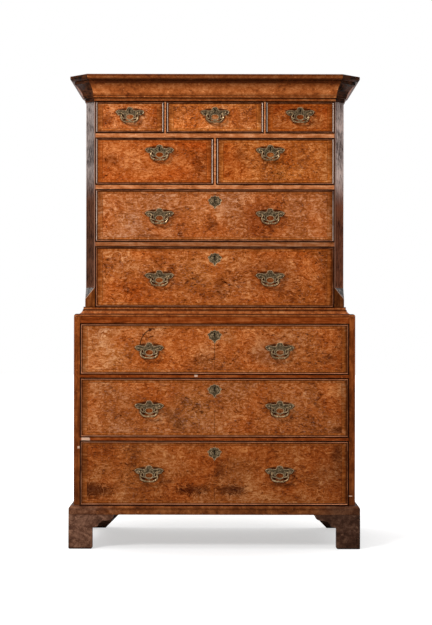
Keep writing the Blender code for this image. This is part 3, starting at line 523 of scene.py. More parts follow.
def carried_over(node, name):
    """A merged copy of a frame node, ready to be worked on."""
    piece = bpy.data.objects.new(name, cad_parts[node].data.copy())
    bpy.context.scene.collection.objects.link(piece)
    only(piece)
    bpy.ops.object.mode_set(mode="EDIT")
    bpy.ops.mesh.select_all(action="SELECT")
    bpy.ops.mesh.remove_doubles(threshold=0.00001)
    bpy.ops.mesh.dissolve_limited(angle_limit=radians(1))
    bpy.ops.object.mode_set(mode="OBJECT")
    return piece


def arc(start, end, bow, steps):
    """Points on the round arc from start to end that bows to the left by a height."""
    half = hypot(end[0] - start[0], end[1] - start[1]) / 2
    along = ((end[0] - start[0]) / (2 * half), (end[1] - start[1]) / (2 * half))
    spread = 2 * atan(bow / half)
    radius = half / sin(spread)
    points = []
    for step in range(steps + 1):
        turn = spread * (2 * step / steps - 1)
        u = radius * sin(turn)
        v = radius * (cos(turn) - cos(spread))
        x = (start[0] + end[0]) / 2 + u * along[0] - v * along[1]
        y = (start[1] + end[1]) / 2 + u * along[1] + v * along[0]
        points.append((x, y))
    return points


def rounded(points, steps):
    """A closed outline that runs through points in even curves."""
    outline = []
    for index in range(len(points)):
        a, b, c, d = (Vector(points[(index + k - 1) % len(points)]) for k in range(4))
        for step in range(steps):
            t = step / steps
            bend = (2 * a - 5 * b + 4 * c - d) * t**2 + (3 * b - a - 3 * c + d) * t**3
            outline.append(tuple((2 * b + (c - a) * t + bend) / 2))
    return outline


def both_sides(half):
    """A whole outline from its right half, listed from top to bottom."""
    return half + [(-x, z) for x, z in reversed(half[1:-1])]


def sawn(name, outline, thickness):
    """A board sawn to an outline of across and up, with its face on Y = 0 and its back behind."""
    bpy.ops.object.select_all(action="DESELECT")
    bpy.ops.mesh.primitive_circle_add(vertices=len(outline), fill_type="NGON")
    piece = added(name)
    for vert, (x, z) in zip(piece.data.vertices, outline):
        vert.co = (x, 0, z)
    bpy.ops.object.mode_set(mode="EDIT")
    bpy.ops.mesh.select_all(action="SELECT")
    push(thickness)
    close_up(piece)
    return piece


def turned(name, rings, x, z, sides=24):
    """A turning on a line along Y, through rings of radius and place, from the back to the front."""
    radius, y = rings[0]
    bpy.ops.object.select_all(action="DESELECT")
    bpy.ops.mesh.primitive_circle_add(
        vertices=sides, radius=radius, location=(x, y, z), rotation=(pi / 2, 0, 0), fill_type="NGON"
    )
    piece = added(name)
    bpy.ops.object.mode_set(mode="EDIT")
    bpy.ops.mesh.select_all(action="SELECT")
    for wide, place in rings[1:]:
        push(place - y)
        size = wide / radius
        bpy.ops.transform.resize(value=(size, 1, size), center_override=(x, place, z))
        radius, y = wide, place
    close_up(piece)
    return piece


def run_moulding(name, section, corners):
    """A moulding run round corners: each corner gives the place of a point of the section."""
    bpy.ops.object.select_all(action="DESELECT")
    bpy.ops.mesh.primitive_circle_add(vertices=len(section), fill_type="NOTHING")
    piece = added(name)
    bpy.ops.object.mode_set(mode="EDIT")
    for _ in corners[1:]:
        bpy.ops.mesh.primitive_circle_add(vertices=len(section), fill_type="NOTHING")
    shape = bmesh.from_edit_mesh(piece.data)
    shape.verts.ensure_lookup_table()
    for index, corner in enumerate(corners):
        for step, (out, up) in enumerate(section):
            shape.verts[index * len(section) + step].co = (*corner(out), up)
    bmesh.update_edit_mesh(piece.data)
    for index in range(len(corners) - 1):
        first, last = index * len(section), (index + 2) * len(section)
        pick(piece, "EDGE", lambda edge: all(first <= vert.index < last for vert in edge.verts))
        bpy.ops.mesh.bridge_edge_loops()
    for index in (0, len(corners) - 1):
        first = index * len(section)
        last = first + len(section)
        pick(piece, "EDGE", lambda edge: all(first <= vert.index < last for vert in edge.verts))
        bpy.ops.mesh.edge_face_add()
    close_up(piece)
    return piece


def front_face(label):
    """Where the fronts of a drawer's chest lie."""
    return LOWER_FRONT if label[0] in LOWER_ROWS else UPPER_FRONT


def lower_corners():
    """Mitres of a moulding round the lower chest, by how far it stands out."""
    return [
        lambda out: (-LOWER_HALF - out, BACK),
        lambda out: (-LOWER_HALF - out, LOWER_FRONT - out),
        lambda out: (LOWER_HALF + out, LOWER_FRONT - out),
        lambda out: (LOWER_HALF + out, BACK),
    ]


def upper_corners():
    """Mitres of a moulding round the upper chest and its canted corners."""
    inner = UPPER_HALF - CANT
    rear = UPPER_FRONT + CANT
    return [
        lambda out: (-UPPER_HALF - out, BACK),
        lambda out: (-UPPER_HALF - out, rear - MITRE * out),
        lambda out: (-inner - MITRE * out, UPPER_FRONT - out),
        lambda out: (inner + MITRE * out, UPPER_FRONT - out),
        lambda out: (UPPER_HALF + out, rear - MITRE * out),
        lambda out: (UPPER_HALF + out, BACK),
    ]


class Value:
    """A number that varies over a surface. Arithmetic with it adds nodes to its tree."""

    def __init__(self, tree, socket):
        self.tree = tree
        self.socket = socket

    def __abs__(self):
        return self.tree.calc("ABSOLUTE", self)

    def __add__(self, other):
        return self.tree.calc("ADD", self, other)

    def __sub__(self, other):
        return self.tree.calc("SUBTRACT", self, other)

    def __rsub__(self, other):
        return self.tree.calc("SUBTRACT", other, self)

    def __mul__(self, other):
        return self.tree.calc("MULTIPLY", self, other)

    def __truediv__(self, other):
        return self.tree.calc("DIVIDE", self, other)

    def __lt__(self, other):
        return self.tree.calc("LESS_THAN", self, other)

    def __gt__(self, other):
        return self.tree.calc("GREATER_THAN", self, other)


class Tree:
    """The nodes of a material or of the world, and arithmetic in them."""

    def __init__(self, owner):
        owner.use_nodes = True
        self.nodes = owner.node_tree.nodes
        self.links = owner.node_tree.links

    def feed(self, socket, value):
        """Link a socket to a pattern, or set it to a plain value."""
        if isinstance(value, Value):
            self.links.new(value.socket, socket)
        elif isinstance(value, bpy.types.NodeSocket):
            self.links.new(value, socket)
        elif socket.type == "RGBA":
            socket.default_value = (*value, 1)
        else:
            socket.default_value = value

    def calc(self, operation, *values):
        """One step of arithmetic."""
        node = self.nodes.new("ShaderNodeMath")
        node.operation = operation
        for socket, value in zip(node.inputs, values):
            self.feed(socket, value)
        return Value(self, node.outputs[0])

    def split(self, vector):
        """X, Y and Z of a place or direction."""
        node = self.nodes.new("ShaderNodeSeparateXYZ")
        self.feed(node.inputs[0], vector)
        return [Value(self, socket) for socket in node.outputs]

    def between(self, value, low, high, start=0.0, end=1.0, easing="SMOOTHSTEP"):
        """Go from start to end while a value goes from low to high."""
        node = self.nodes.new("ShaderNodeMapRange")
        node.interpolation_type = easing
        for socket, setting in zip(node.inputs, (value, low, high, start, end)):
            self.feed(socket, setting)
        return Value(self, node.outputs[0])


class Finish(Tree):
    """A surface finish, built up in nodes from a piece's place in the chest."""

    def __init__(self, name, roughness, metallic=0.0):
        self.material = bpy.data.materials.new(name)
        super().__init__(self.material)
        self.shader = self.nodes["Principled BSDF"]
        self.shader.inputs["Roughness"].default_value = roughness
        self.shader.inputs["Metallic"].default_value = metallic
        self.place = self.nodes.new("ShaderNodeTexCoord").outputs["Object"]
        self.x, self.y, self.z = self.split(self.place)

    def total(self, base, *parts):
        """A base with weighted patterns added, each about its middle value."""
        result = base - sum(weight for _, weight in parts) / 2
        for pattern, weight in parts:
            result = self.calc("MULTIPLY_ADD", pattern, weight, result)
        return result

    def uneven(self, value, pattern, amount):
        """A value shifted up and down by a pattern."""
        return self.calc("MULTIPLY_ADD", pattern - 0.5, amount, value)

    def either(self, test, yes, no):
        """One value where a test holds and another elsewhere."""
        return self.calc("MULTIPLY_ADD", test, yes - no, no)

    def from_oval(self, across, up, wide, tall):
        """How far a place lies from an oval's middle, squared: 1 at the rim."""
        return self.calc("POWER", across / wide, 2.0) + self.calc("POWER", up / tall, 2.0)

    def gather(self, *values):
        """A place from X, Y and Z."""
        node = self.nodes.new("ShaderNodeCombineXYZ")
        for socket, value in zip(node.inputs, values):
            self.feed(socket, value)
        return node.outputs[0]

    def stretched(self, scale, shift):
        """The place, stretched along the grain and shifted to another part of the tree."""
        node = self.nodes.new("ShaderNodeMapping")
        self.feed(node.inputs["Vector"], self.place)
        node.inputs["Location"].default_value = (shift, shift, shift)
        node.inputs["Scale"].default_value = scale
        return node.outputs[0]

    def noise(self, vector, scale, detail=3.0, roughness=0.5, distortion=0.0):
        """Cloudy pattern of a given number of features to the metre."""
        node = self.nodes.new("ShaderNodeTexNoise")
        self.feed(node.inputs["Vector"], vector)
        node.inputs["Scale"].default_value = scale
        node.inputs["Detail"].default_value = detail
        node.inputs["Roughness"].default_value = roughness
        node.inputs["Distortion"].default_value = distortion
        return Value(self, node.outputs[0])

    def grain(self, scale, seed, detail, roughness, distortion=0.0):
        """Pattern with its own number of features to the metre along X, Y and Z."""
        return self.noise(self.stretched(scale, seed), 1, detail, roughness, distortion)

    def cloud(self, scale, seed, detail, roughness, distortion=0.0):
        """Pattern that is the same all ways, another one for each seed."""
        return self.noise(self.stretched((1, 1, 1), seed), scale, detail, roughness, distortion)

    def cells(self, vector, scale):
        """Distance from the nearest of many scattered points."""
        node = self.nodes.new("ShaderNodeTexVoronoi")
        self.feed(node.inputs["Vector"], vector)
        node.inputs["Scale"].default_value = scale
        return Value(self, node.outputs["Distance"])

    def mix(self, share, first, second, blend="MIX"):
        """Lay one colour over another. The node's sockets go by number, because their names repeat."""
        node = self.nodes.new("ShaderNodeMix")
        node.data_type = "RGBA"
        node.blend_type = blend
        for index, value in ((0, share), (6, first), (7, second)):
            self.feed(node.inputs[index], value)
        return node.outputs[2]

    def shades(self, value, *stops):
        """Colours along a value."""
        node = self.nodes.new("ShaderNodeValToRGB")
        ends = node.color_ramp.elements
        ends[0].position, ends[1].position = stops[0][0], stops[-1][0]
        ends[0].color, ends[1].color = (*stops[0][1], 1), (*stops[-1][1], 1)
        for place, colour in stops[1:-1]:
            ends.new(place).color = (*colour, 1)
        self.feed(node.inputs[0], value)
        return node.outputs[0]

    def pine(self, scale, seed):
        """Colour of the bare pine behind a veneer."""
        return self.shades(self.grain(scale, seed, 4, 0.6), *zip(PINE_LEVELS, PINE_SHADES))

    def relief(self, height, distance, strength):
        """Raise the surface a little by a pattern."""
        node = self.nodes.new("ShaderNodeBump")
        node.inputs["Strength"].default_value = strength
        node.inputs["Distance"].default_value = distance
        self.feed(node.inputs["Height"], height)
        self.links.new(node.outputs[0], self.shader.inputs["Normal"])

    def waxed(self, weight, roughness):
        """A thin coat of wax over dull wood."""
        self.shader.inputs["Specular IOR Level"].default_value = WAX_SHINE
        self.shader.inputs["Coat Weight"].default_value = weight
        self.shader.inputs["Coat Roughness"].default_value = roughness

    def done(self, colour, roughness):
        """Set the colour and an uneven polish, and return the material."""
        self.feed(self.shader.inputs["Base Color"], colour)
        self.feed(self.shader.inputs["Roughness"], roughness)
        return self.material


def tinted(colour, tint):
    """A colour deepened or lightened."""
    return tuple(part * share for part, share in zip(colour, tint))


class FrontVeneer(Finish):
    """Burr veneer of one drawer front, with the layers that lie on it."""

    def __init__(self, name, low, high, seed, tone):
        super().__init__(name, WALNUT_ROUGHNESS)
        self.low, self.high, self.seed, self.tone = low, high, seed, tone
        self.across = self.x - (low.x + high.x) / 2
        self.up = self.z - (low.z + high.z) / 2
        self.leaf = abs(self.across)
        self.to_end = (high.x - low.x) / 2 - self.leaf
        self.to_edge = (high.z - low.z) / 2 - abs(self.up)
        self.nearest = self.calc("MINIMUM", self.to_end, self.to_edge)
        self.spot = self.gather(self.leaf + seed, seed, self.up + seed)
        self.drift = self.noise(self.gather(self.across, seed, self.up), 6.5, 4, 0.55)
        self.swirl = self.noise(self.spot, 13, 3, 0.5, 1.2)
        bent = self.calc("MULTIPLY_ADD", self.swirl, 26.0, self.z * 120.0)
        self.fibre = self.noise(self.gather(self.x * 22.0, seed, bent), 1, 5, 0.70, 0.6)
        self.mottle = self.grain((52, 52, 120), seed, 5, 0.74, 0.6)
        self.smoke = self.noise(self.place, 26, 3)
        beyond_end = self.to_end - END_BAND
        beyond_edge = self.to_edge - EDGE_BAND
        self.inner = self.calc("MINIMUM", beyond_end, beyond_edge)
        end_grain = self.grain((30, 30, 150), seed, 5, 0.66)
        edge_grain = self.grain((120, 30, 60), seed, 5, 0.66)
        self.streak = self.either(beyond_end < beyond_edge, end_grain, edge_grain)
        self.stops = [(level, tinted(shade, tone)) for level, shade in BURR_STOPS]

    def burr(self):
        """Two matched leaves of burr: streaks, mottle, dark flecks and rings, and pale flecks of dust with
        painted glints.
        """
        pores = self.grain((90, 90, 330), self.seed, 3, 0.6)
        flecks = self.between(self.grain((70, 70, 150), self.seed, 3, 0.6), 0.58, 0.70)
        flecks = flecks * self.between(self.noise(self.place, 12), 0.38, 0.60)
        contour = self.calc("PINGPONG", self.swirl * 17.0, 0.5)
        rings = self.between(contour, 0.10, 0.0) * self.between(self.noise(self.spot, 6, 2), 0.50, 0.62)
        coarse = ((self.drift, 0.70), (self.swirl, 0.35))
        figure = self.total(0.50, *coarse, (self.fibre, 1.25), (self.mottle, 1.20), (pores, 0.50))
        figure = figure - flecks * 0.42 - rings * 0.30
        colour = self.shades(figure, *self.stops)
        # pale flecks, partly dust and partly painted glints on the open grain
        dust_and_glints = self.between(self.grain((120, 120, 240), self.seed, 4, 0.6), 0.52, 0.80, 0.0, 0.42)
        colour = self.mix(dust_and_glints, colour, tinted(DUST_AND_GLINT_SHADE, self.tone))
        hue = self.cloud(5, self.seed, 3, 0.5, 0.8)
        colour = self.mix(self.between(hue, 0.42, 0.66, 0.0, 0.9), colour, WARM_TINT, "MULTIPLY")
        return self.mix(self.between(hue, 0.46, 0.30, 0.0, 0.8), colour, COOL_TINT, "MULTIPLY")

    def marked(self, colour, marks):
        """Oval stains with ragged rims."""
        for across, up, wide, tall, share, stain in marks:
            far = self.calc("SQRT", self.from_oval(self.x - across, self.z - up, wide, tall))
            far = self.uneven(far, self.fibre, 2.4)
            colour = self.mix(self.between(far, 1.05, 0.30, 0.0, share), colour, stain, "MULTIPLY")
        return colour

    def scratched(self, colour, scratches):
        """Scratches that run round the upper left of a centre."""
        for across, up, radius, start in scratches:
            dx = self.x - across
            dz = self.z - up
            off = abs(self.calc("SQRT", self.from_oval(dx, dz, 1.0, 1.0)) - radius)
            run = self.between(dz - dx, start, start + SCRATCH_FADE)
            line = self.between(off, *SCRATCH_RIMS) * run * 0.9
            colour = self.mix(line, colour, tinted(SCRATCH_SHADE, self.tone))
        return colour

    def jointed(self, colour):
        """A dark joint between the two leaves."""
        joint = self.between(self.leaf, *JOINT_RIMS) * self.between(self.drift, 0.36, 0.56, 0.10, 0.60)
        return self.mix(joint, colour, tinted(JOINT_SHADE, self.tone))

    def crossbanded(self, burr):
        """A crossband round the burr, and a dark line between them."""
        figure = self.total(0.49, (self.streak, 0.85), (self.mottle, 0.95), (self.drift, 0.5))
        band = self.shades(figure, *self.stops)
        band = self.mix((self.up < 0.0) * 0.6, band, LOW_BAND_TINT, "MULTIPLY")
        colour = self.mix(self.between(self.inner, -BAND_JOINT, BAND_JOINT), band, burr)
        line = self.between(abs(self.inner), *BAND_LINE_RIMS, 0.0, 0.70)
        line = line * self.between(self.fibre, 0.35, 0.60, 0.30, 1.0)
        return self.mix(line, colour, tinted(BAND_LINE_SHADE, self.tone))

    def dirtied_and_shaded(self, colour, handle):
        """Dirt and painted shadow round the back plates, fainter over the middle, by whether they are a pair,
        their offset and their height.
        """
        pair, offset, height = handle
        beside = abs((self.leaf if pair else self.across) - offset)
        above = self.z - height
        wings = self.from_oval(beside, above - HALO_WINGS_RISE, *HALO_WINGS)
        bowl = self.from_oval(beside, above + HALO_BOWL_DROP, *HALO_BOWL)
        # dirt and painted shadow round each plate and in its slits
        dark_share = self.between(self.calc("MINIMUM", wings, bowl), 1.60, 0.95, 0.0, 0.90)
        dark_share = dark_share * self.between(beside, *FAINT_MIDDLE, 0.38, 1.0)
        return self.mix(dark_share, colour, tinted(HANDLE_DIRT_AND_SHADOW, self.tone))

    def darkened_edges_and_quirk(self, colour, right_end_darkening):
        """Darkening along the edges, most at the right end, and a painted shadow in the quirk beside the
        bead.
        """
        edge_dark = self.between(self.nearest - self.smoke * 0.016, -0.008, 0.006, 0.60, 0.0)
        to_right = (self.high.x + 0.010) - self.x - self.smoke * 0.020
        into_quirk = abs(self.nearest - (BEAD_WIDTH + QUIRK))
        for deposit in (
            self.between(self.to_end - self.smoke * 0.03, -0.008, 0.016, 0.52, 0.0),
            self.between(to_right, 0.008, 0.020, right_end_darkening, 0.0),
            self.between(to_right, 0.015, 0.080, 0.4 * right_end_darkening, 0.0),
            # painted shadow in the quirk beside the bead
            self.between(into_quirk, *QUIRK_RIMS, 0.0, 0.92),
        ):
            edge_dark = self.calc("MAXIMUM", edge_dark, deposit)
        return self.mix(edge_dark, colour, EDGE_DARK_AND_QUIRK_SHADOW)

    def beaded(self, colour, bead_highlights):
        """A plain cock bead with painted highlights that differ from side to side, and a painted shadow of
        the gap on its outer edge.
        """
        left, right, top, bottom, end_highlight = bead_highlights
        is_end = self.to_end < self.to_edge
        end_light = self.either(self.across < 0.0, left, right)
        edge_light = self.either(self.up < 0.0, bottom, top)
        light = self.either(is_end, end_light, edge_light)
        light = self.uneven(light, self.grain((26, 26, 26), self.seed, 4, 0.6), 1.6)
        # painted highlight on the bead
        bead = self.mix(light, BEAD_SHADE, self.mix(is_end, WARM_BEAD_HIGHLIGHT, end_highlight))
        is_bead = self.between(self.nearest, BEAD_WIDTH + EDGE_FADE, BEAD_WIDTH - EDGE_FADE)
        colour = self.mix(is_bead, colour, bead)
        # painted shadow of the gap on the bead's outer edge
        return self.mix(self.between(self.nearest, *GAP_RIMS), colour, GAP_SHADOW)

    def backed(self, colour, lock):
        """Pine groundwork behind the veneer, and a painted shadow inside the keyhole through both."""
        depth = self.y - self.low.y
        veneer = self.between(depth, VENEER_DEPTH, VENEER_DEPTH + 2 * EDGE_FADE)
        colour = self.mix(veneer, colour, self.pine((7, 90, 90), self.seed))
        across, up = lock
        # painted shadow inside the keyhole
        hole = self.from_oval(self.x - across, self.z - (up - HOLE_DROP), *HOLE_SIZE)
        hole = self.between(hole, 1.0, 0.85) * (depth < HOLE_DEPTH)
        return self.mix(hole, colour, KEYHOLE_SHADOW)


def front_veneer(label, low, high, seed, handle, lock):
    """Finish of a drawer front, layer by layer."""
    finish = FrontVeneer(f"drawer_{label}_veneer", low, high, seed, TONES[label])
    colour = finish.marked(finish.burr(), MARKS[label])
    colour = finish.scratched(colour, SCRATCHES.get(label, []))
    if label in LOWER_ROWS:
        colour = finish.jointed(colour)
    colour = finish.crossbanded(colour)
    colour = finish.dirtied_and_shaded(colour, handle)
    colour = finish.darkened_edges_and_quirk(colour, RIGHT_END_DARKENING[label[0]])
    colour = finish.beaded(colour, BEAD_HIGHLIGHTS[label[0]])
    colour = finish.backed(colour, lock)
    finish.relief(finish.total(0.5, (finish.mottle, 0.6), (finish.streak, 0.4)), WOOD_RELIEF, 0.25)
    finish.waxed(WAX, 0.22)
    polish = finish.total(0.5, (finish.mottle, 0.8), (finish.smoke, 0.6))
    return finish.done(colour, finish.between(polish, 0.2, 0.8, 0.32, 0.52))


def beside_drawers(finish, rows):
    """How far a place of the case lies from the nearest drawer of some rows."""
    near = 1.0
    for label in TONES:
        if label[0] in rows:
            low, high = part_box(f"drawer_{label}")
            wide = abs(finish.x - (low.x + high.x) / 2) - (high.x - low.x) / 2
            tall = abs(finish.z - (low.z + high.z) / 2) - (high.z - low.z) / 2
            near = finish.calc("MINIMUM", near, finish.calc("MAXIMUM", wide, tall))
    return near


def canted_corner(finish, colour, seed):
    """Colour of the cornice, with its canted corners painted nearly black as shade."""
    wide = abs(finish.x)
    back = finish.y - UPPER_FRONT
    front = wide - (UPPER_HALF - CANT) + back * MITRE
    flank = back - CANT + (wide - UPPER_HALF) * MITRE
    cant = finish.between(front, 0.0, 0.0008) * finish.between(flank, 0.0, -0.0008)
    cant = cant * finish.between(finish.z, CORNICE_HIGH.z - 0.0004, CORNICE_HIGH.z - 0.0010)
    patch = finish.grain((40, 40, 90), seed, 4, 0.65)
    # painted shade on the canted corners
    return finish.mix(cant, colour, finish.mix(finish.between(patch, 0.35, 0.65), *CANT_SHADOW_SHADES))


def fluted_corner(finish, colour, seed):
    """Colour of a corner post: dark flutes with a painted sheen and haze, a stop under them painted pale grey
    as if lit from above, and painted highlights on the stop's edge and along the post's inner edge.
    """
    back = finish.y - UPPER_FRONT
    wide = abs(finish.x)
    on_right = finish.x > 0.0
    gleam = finish.grain((320, 320, 40), seed, 5, 0.72)
    patch = finish.grain((10, 10, 14), seed, 3, 0.5)
    # painted sheen on the flutes
    sheen = finish.between(finish.total(0.5, (gleam, 1.6), (patch, 0.8)), 0.16, 0.70)
    # painted haze of reflection high up, and the right post lightened out of its shade
    haze = finish.between(finish.z + on_right * 0.02, *HAZE_RISE)
    tones = [finish.mix(haze, low_tone, high_tone) for low_tone, high_tone in FLUTE_LIGHT_TINTS]
    cant = finish.mix(1.0, finish.mix(sheen, *FLUTE_SHEEN_SHADES), finish.mix(on_right, *tones), "MULTIPLY")
    # painted highlight along the cant's inner arris
    cant = finish.mix(finish.between(back, 0.009, 0.004, 0.0, 0.6), cant, FLUTE_EDGE_HIGHLIGHT)
    low_part = finish.between(finish.z, STOP_TOP + 0.001, STOP_TOP - 0.001)
    # the stop painted pale grey as if lit from above, with a painted highlight on its front edge
    stop = finish.mix(finish.between(gleam, 0.42, 0.62), *STOP_LIT_SHADES)
    stop = finish.mix(finish.between(back, 0.0034, 0.0024), stop, STOP_EDGE_HIGHLIGHT)
    cant = finish.mix(low_part, cant, stop)
    cut_away = finish.between(back, 0.0003, 0.0008) * finish.between(UPPER_HALF - wide, 0.0003, 0.0008)
    # painted highlight along the inner edge of the post
    edge = finish.between(wide, OPENING_HALF + 0.0040, OPENING_HALF + 0.0034, 0.0, 0.8)
    edge = edge * finish.between(finish.z, STOP_TOP - 0.001, STOP_TOP + 0.001)
    colour = finish.mix(edge, colour, POST_EDGE_HIGHLIGHT)
    colour = finish.mix(low_part, colour, finish.mix(on_right, *BLOCK_TONES), "MULTIPLY")
    return finish.mix(cut_away, colour, cant)


def darkened_by_height(finish, colour, cloud, darkening, shade):
    """Darkening by height, from a list of heights and shares; on the mouldings and under the lower chest's
    top edge it is painted shade.
    """
    bottom, top = darkening[0][0], darkening[-1][0]
    height = (finish.z - bottom) / (top - bottom)
    stops = [((level - bottom) / (top - bottom), (share, share, share)) for level, share in darkening]
    dark = finish.between(cloud, 0.25, 0.55, 0.80, 1.0) * finish.shades(height, *stops)
    return finish.mix(dark, colour, tinted(shade, DARKENING_TINT))


def chipped(finish, colour, cloud, chips):
    """Pale chips with ragged edges."""
    for across, up, wide, tall in chips:
        off = finish.calc("MAXIMUM", abs(finish.x - across) / wide, abs(finish.z - up) / tall)
        far = finish.uneven(off, cloud, 1.2)
        colour = finish.mix(finish.between(far, 1.1, 0.8), colour, CHIP_SHADE)
    return colour


def walnut(
    name, grain, shades, seed, roughness=WALNUT_ROUGHNESS, wax=WAX, veneer_back=None, darkening=(), corner=None,
    right_shade=0.0, worn_ends=0.0, chips=(), rows=""
):
    """Walnut with its grain stretched one way; darkening by height, mostly painted shade; painted shade
    towards the right; wear and chips; and painted shadow in the gaps round drawers.
    """
    finish = Finish(name, roughness)
    streak = finish.grain(grain, seed, 5, 0.66, 0.5)
    fine = finish.grain(tuple(5 * part for part in grain), seed, 3, 0.7)
    cloud = finish.cloud(16, seed, 5, 0.66, 1.2)
    figure = finish.total(0.5, (streak, 1.3), (fine, 0.6), (cloud, 1.1))
    colour = finish.shades(figure, *zip(WALNUT_LEVELS, shades))
    rubbed = finish.between(finish.cloud(75, seed, 2, 0.4), 0.66, 0.76, 0.0, 0.5)
    colour = finish.mix(rubbed, colour, tuple(1.5 * part for part in shades[2]))
    if darkening:
        colour = darkened_by_height(finish, colour, cloud, darkening, shades[0])
    if corner is not None:
        colour = corner(finish, colour, seed)
    # painted shade, darker towards the right
    if right_shade:
        shadow = finish.between(finish.x, -RIGHT_SHADE_REACH, RIGHT_SHADE_REACH, 0.0, right_shade)
        colour = finish.mix(shadow, colour, tuple(0.9 * part for part in shades[0]))
    if worn_ends:
        end = finish.shades(figure, *zip(WALNUT_LEVELS, FOOT_SHADES))
        # the ends painted darker towards the right, as shade
        end = finish.mix(finish.between(finish.x, -RIGHT_SHADE_REACH, RIGHT_SHADE_REACH, 0.22, 0.68), end, FOOT_SHADES[0])
        far = finish.uneven(abs(finish.x), cloud, 0.16)
        colour = finish.mix(finish.between(far, 0.33, 0.47, 0.0, worn_ends), colour, end)
    colour = chipped(finish, colour, cloud, chips)
    # painted shadow in the gaps round the drawers
    if rows:
        near = beside_drawers(finish, rows)
        colour = finish.mix(finish.between(near, *CASE_GAP_RIMS, 0.0, 0.97), colour, GAP_SHADOW)
    if veneer_back is not None:
        behind = finish.between(finish.y, veneer_back, veneer_back + 2 * EDGE_FADE)
        colour = finish.mix(behind, colour, finish.pine((80, 6, 80), seed))
    finish.relief(finish.total(0.5, (fine, 0.7), (streak, 0.3)), WOOD_RELIEF, 0.3)
    finish.waxed(wax, 0.16)
    return finish.done(colour, finish.between(figure, 0.2, 0.8, roughness + 0.08, roughness - 0.06))


def deal(name, grain, seed, shades=PINE_SHADES, knots=0.6):
    """Plain unpolished wood of the linings and back, with knots and old dirt."""
    finish = Finish(name, 0.72)
    streak = finish.grain(grain, seed, 5, 0.6, 0.8)
    fine = finish.grain(tuple(6 * part for part in grain), seed, 2, 0.6)
    figure = finish.total(0.5, (streak, 1.0), (fine, 0.35))
    colour = finish.shades(figure, *zip((0.25, 0.5, 0.75), shades))
    squeezed = finish.stretched(tuple(0.3 + 0.04 * part for part in grain), seed)
    knot = finish.between(finish.cells(squeezed, 1.4), 0.10, 0.04, 0.0, knots)
    colour = finish.mix(knot, colour, tinted(shades[0], KNOT_TINT))
    dark_share = finish.between(finish.noise(finish.place, 5, 4, 0.6), 0.45, 0.75, 0.0, 0.55)
    colour = finish.mix(dark_share, colour, tinted(shades[0], DEAL_DIRT_TINT))
    finish.relief(finish.total(0.5, (streak, 0.5), (fine, 0.5)), 0.0006, 0.4)
    return finish.done(colour, finish.between(fine, 0.3, 0.7, 0.62, 0.82))


def old_metal(name, shades, roughness, metallic, seed, rim=0.0):
    """Cast metal, dulled and darkened by handling and old polish, with its rims lighter."""
    finish = Finish(name, roughness, metallic)
    tarnish = finish.cloud(170, seed, 5, 0.65, 0.8)
    speck = finish.cloud(900, seed, 3, 0.6)
    figure = finish.total(0.5, (tarnish, 1.1), (speck, 0.4))
    if rim:
        edge = finish.nodes.new("ShaderNodeAttribute")
        edge.attribute_name = "rim"
        figure = finish.calc("MULTIPLY_ADD", edge.outputs["Fac"], rim, figure)
    colour = finish.shades(figure, *zip((0.2, 0.5, 0.8), shades))
    finish.relief(finish.total(0.5, (tarnish, 0.5), (speck, 0.5)), 0.0002, 0.35)
    return finish.done(colour, finish.between(tarnish, 0.3, 0.7, roughness + 0.1, roughness - 0.08))


def darkening_from(level, *stops):
    """Shares of darkening at heights over a level."""
    return [(level + rise, share) for rise, share in stops]


# Painted shade and light on the cornice's members, darkest under its steps
cornice_painted_shade = darkening_from(
    CORNICE_LOW.z,
    *((0.0, 1.0), (0.0014, 0.90), (0.0030, 0.50), (0.0070, 0.52), (0.0095, 0.72), (0.0120, 0.97)),
    *((0.0138, 0.97), (0.0152, 0.20), (0.0190, 0.0), (0.0200, 0.85), (0.0225, 0.45), (0.0265, 0.34)),
    *((0.0310, 0.02), (0.0420, 0.05), (0.0500, 0.18), (0.0580, 0.36), (0.0620, 0.55), (0.0642, 0.97)),
    *((0.0735, 0.92), (0.0770, 0.85), (0.0800, 0.58), (0.0835, 0.52), (0.0865, 0.80), (0.0933, 0.78)),
)
# Painted shade under the steps of the lower chest's top edge and the waist moulding
waist_painted_shade = darkening_from(
    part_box("lower_left_side")[1].z,
    *((0.0, 0.95), (0.0010, 0.80), (0.0025, 0.42), (0.0050, 0.45), (0.0068, 0.70), (0.0080, 0.97)),
    *((0.0098, 0.97), (0.0114, 0.45), (0.0150, 0.28), (0.0190, 0.42), (0.0220, 0.75), (0.0236, 0.97)),
    *((0.0264, 0.97), (0.0276, 0.45), (0.0298, 0.30), (0.0325, 0.50), (0.0342, 0.92), (0.0362, 1.0)),
)
# Painted shade in the lines of the base moulding, by height
base_painted_shade = darkening_from(
    BASE_LOW.z,
    *((0.0, 0.35), (0.0040, 0.10), (0.0135, 0.0), (0.0180, 0.20), (0.0220, 0.55), (0.0255, 0.0)),
    *((0.0315, 0.0), (0.0328, 0.70), (0.0342, 1.0)),
)
# Painted shade on the top of the lower top rail, under the lower chest's top edge
top_rail_painted_shade = darkening_from(WAIST_LOW.z, (0.0, 0.0), (0.9 * TOP_RAIL, 0.0), (TOP_RAIL, 0.8))
# The upper chest's rails darker from the third rail down
rail_3_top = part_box("upper_rail_3")[1].z
upper_rail_darkening = [(0.0, 0.42), (rail_3_top + 0.001, 0.42), (rail_3_top + 0.005, 0.0), (CORNICE_HIGH.z, 0.0)]
# The stiles darker in bands towards the bottom
stile_darkening = [(0.0, 0.55), (0.20, 0.52), (0.27, 0.28), (0.36, 0.20), (0.43, 0.30), (0.52, 0.26)]
stile_darkening += [(0.64, 0.0), (1.0, 0.0)]
# The feet darker along their bottom
sole_darkening = [(0.0, 0.9), (0.0045, 0.85), (0.0060, 0.0), (0.1, 0.0)]

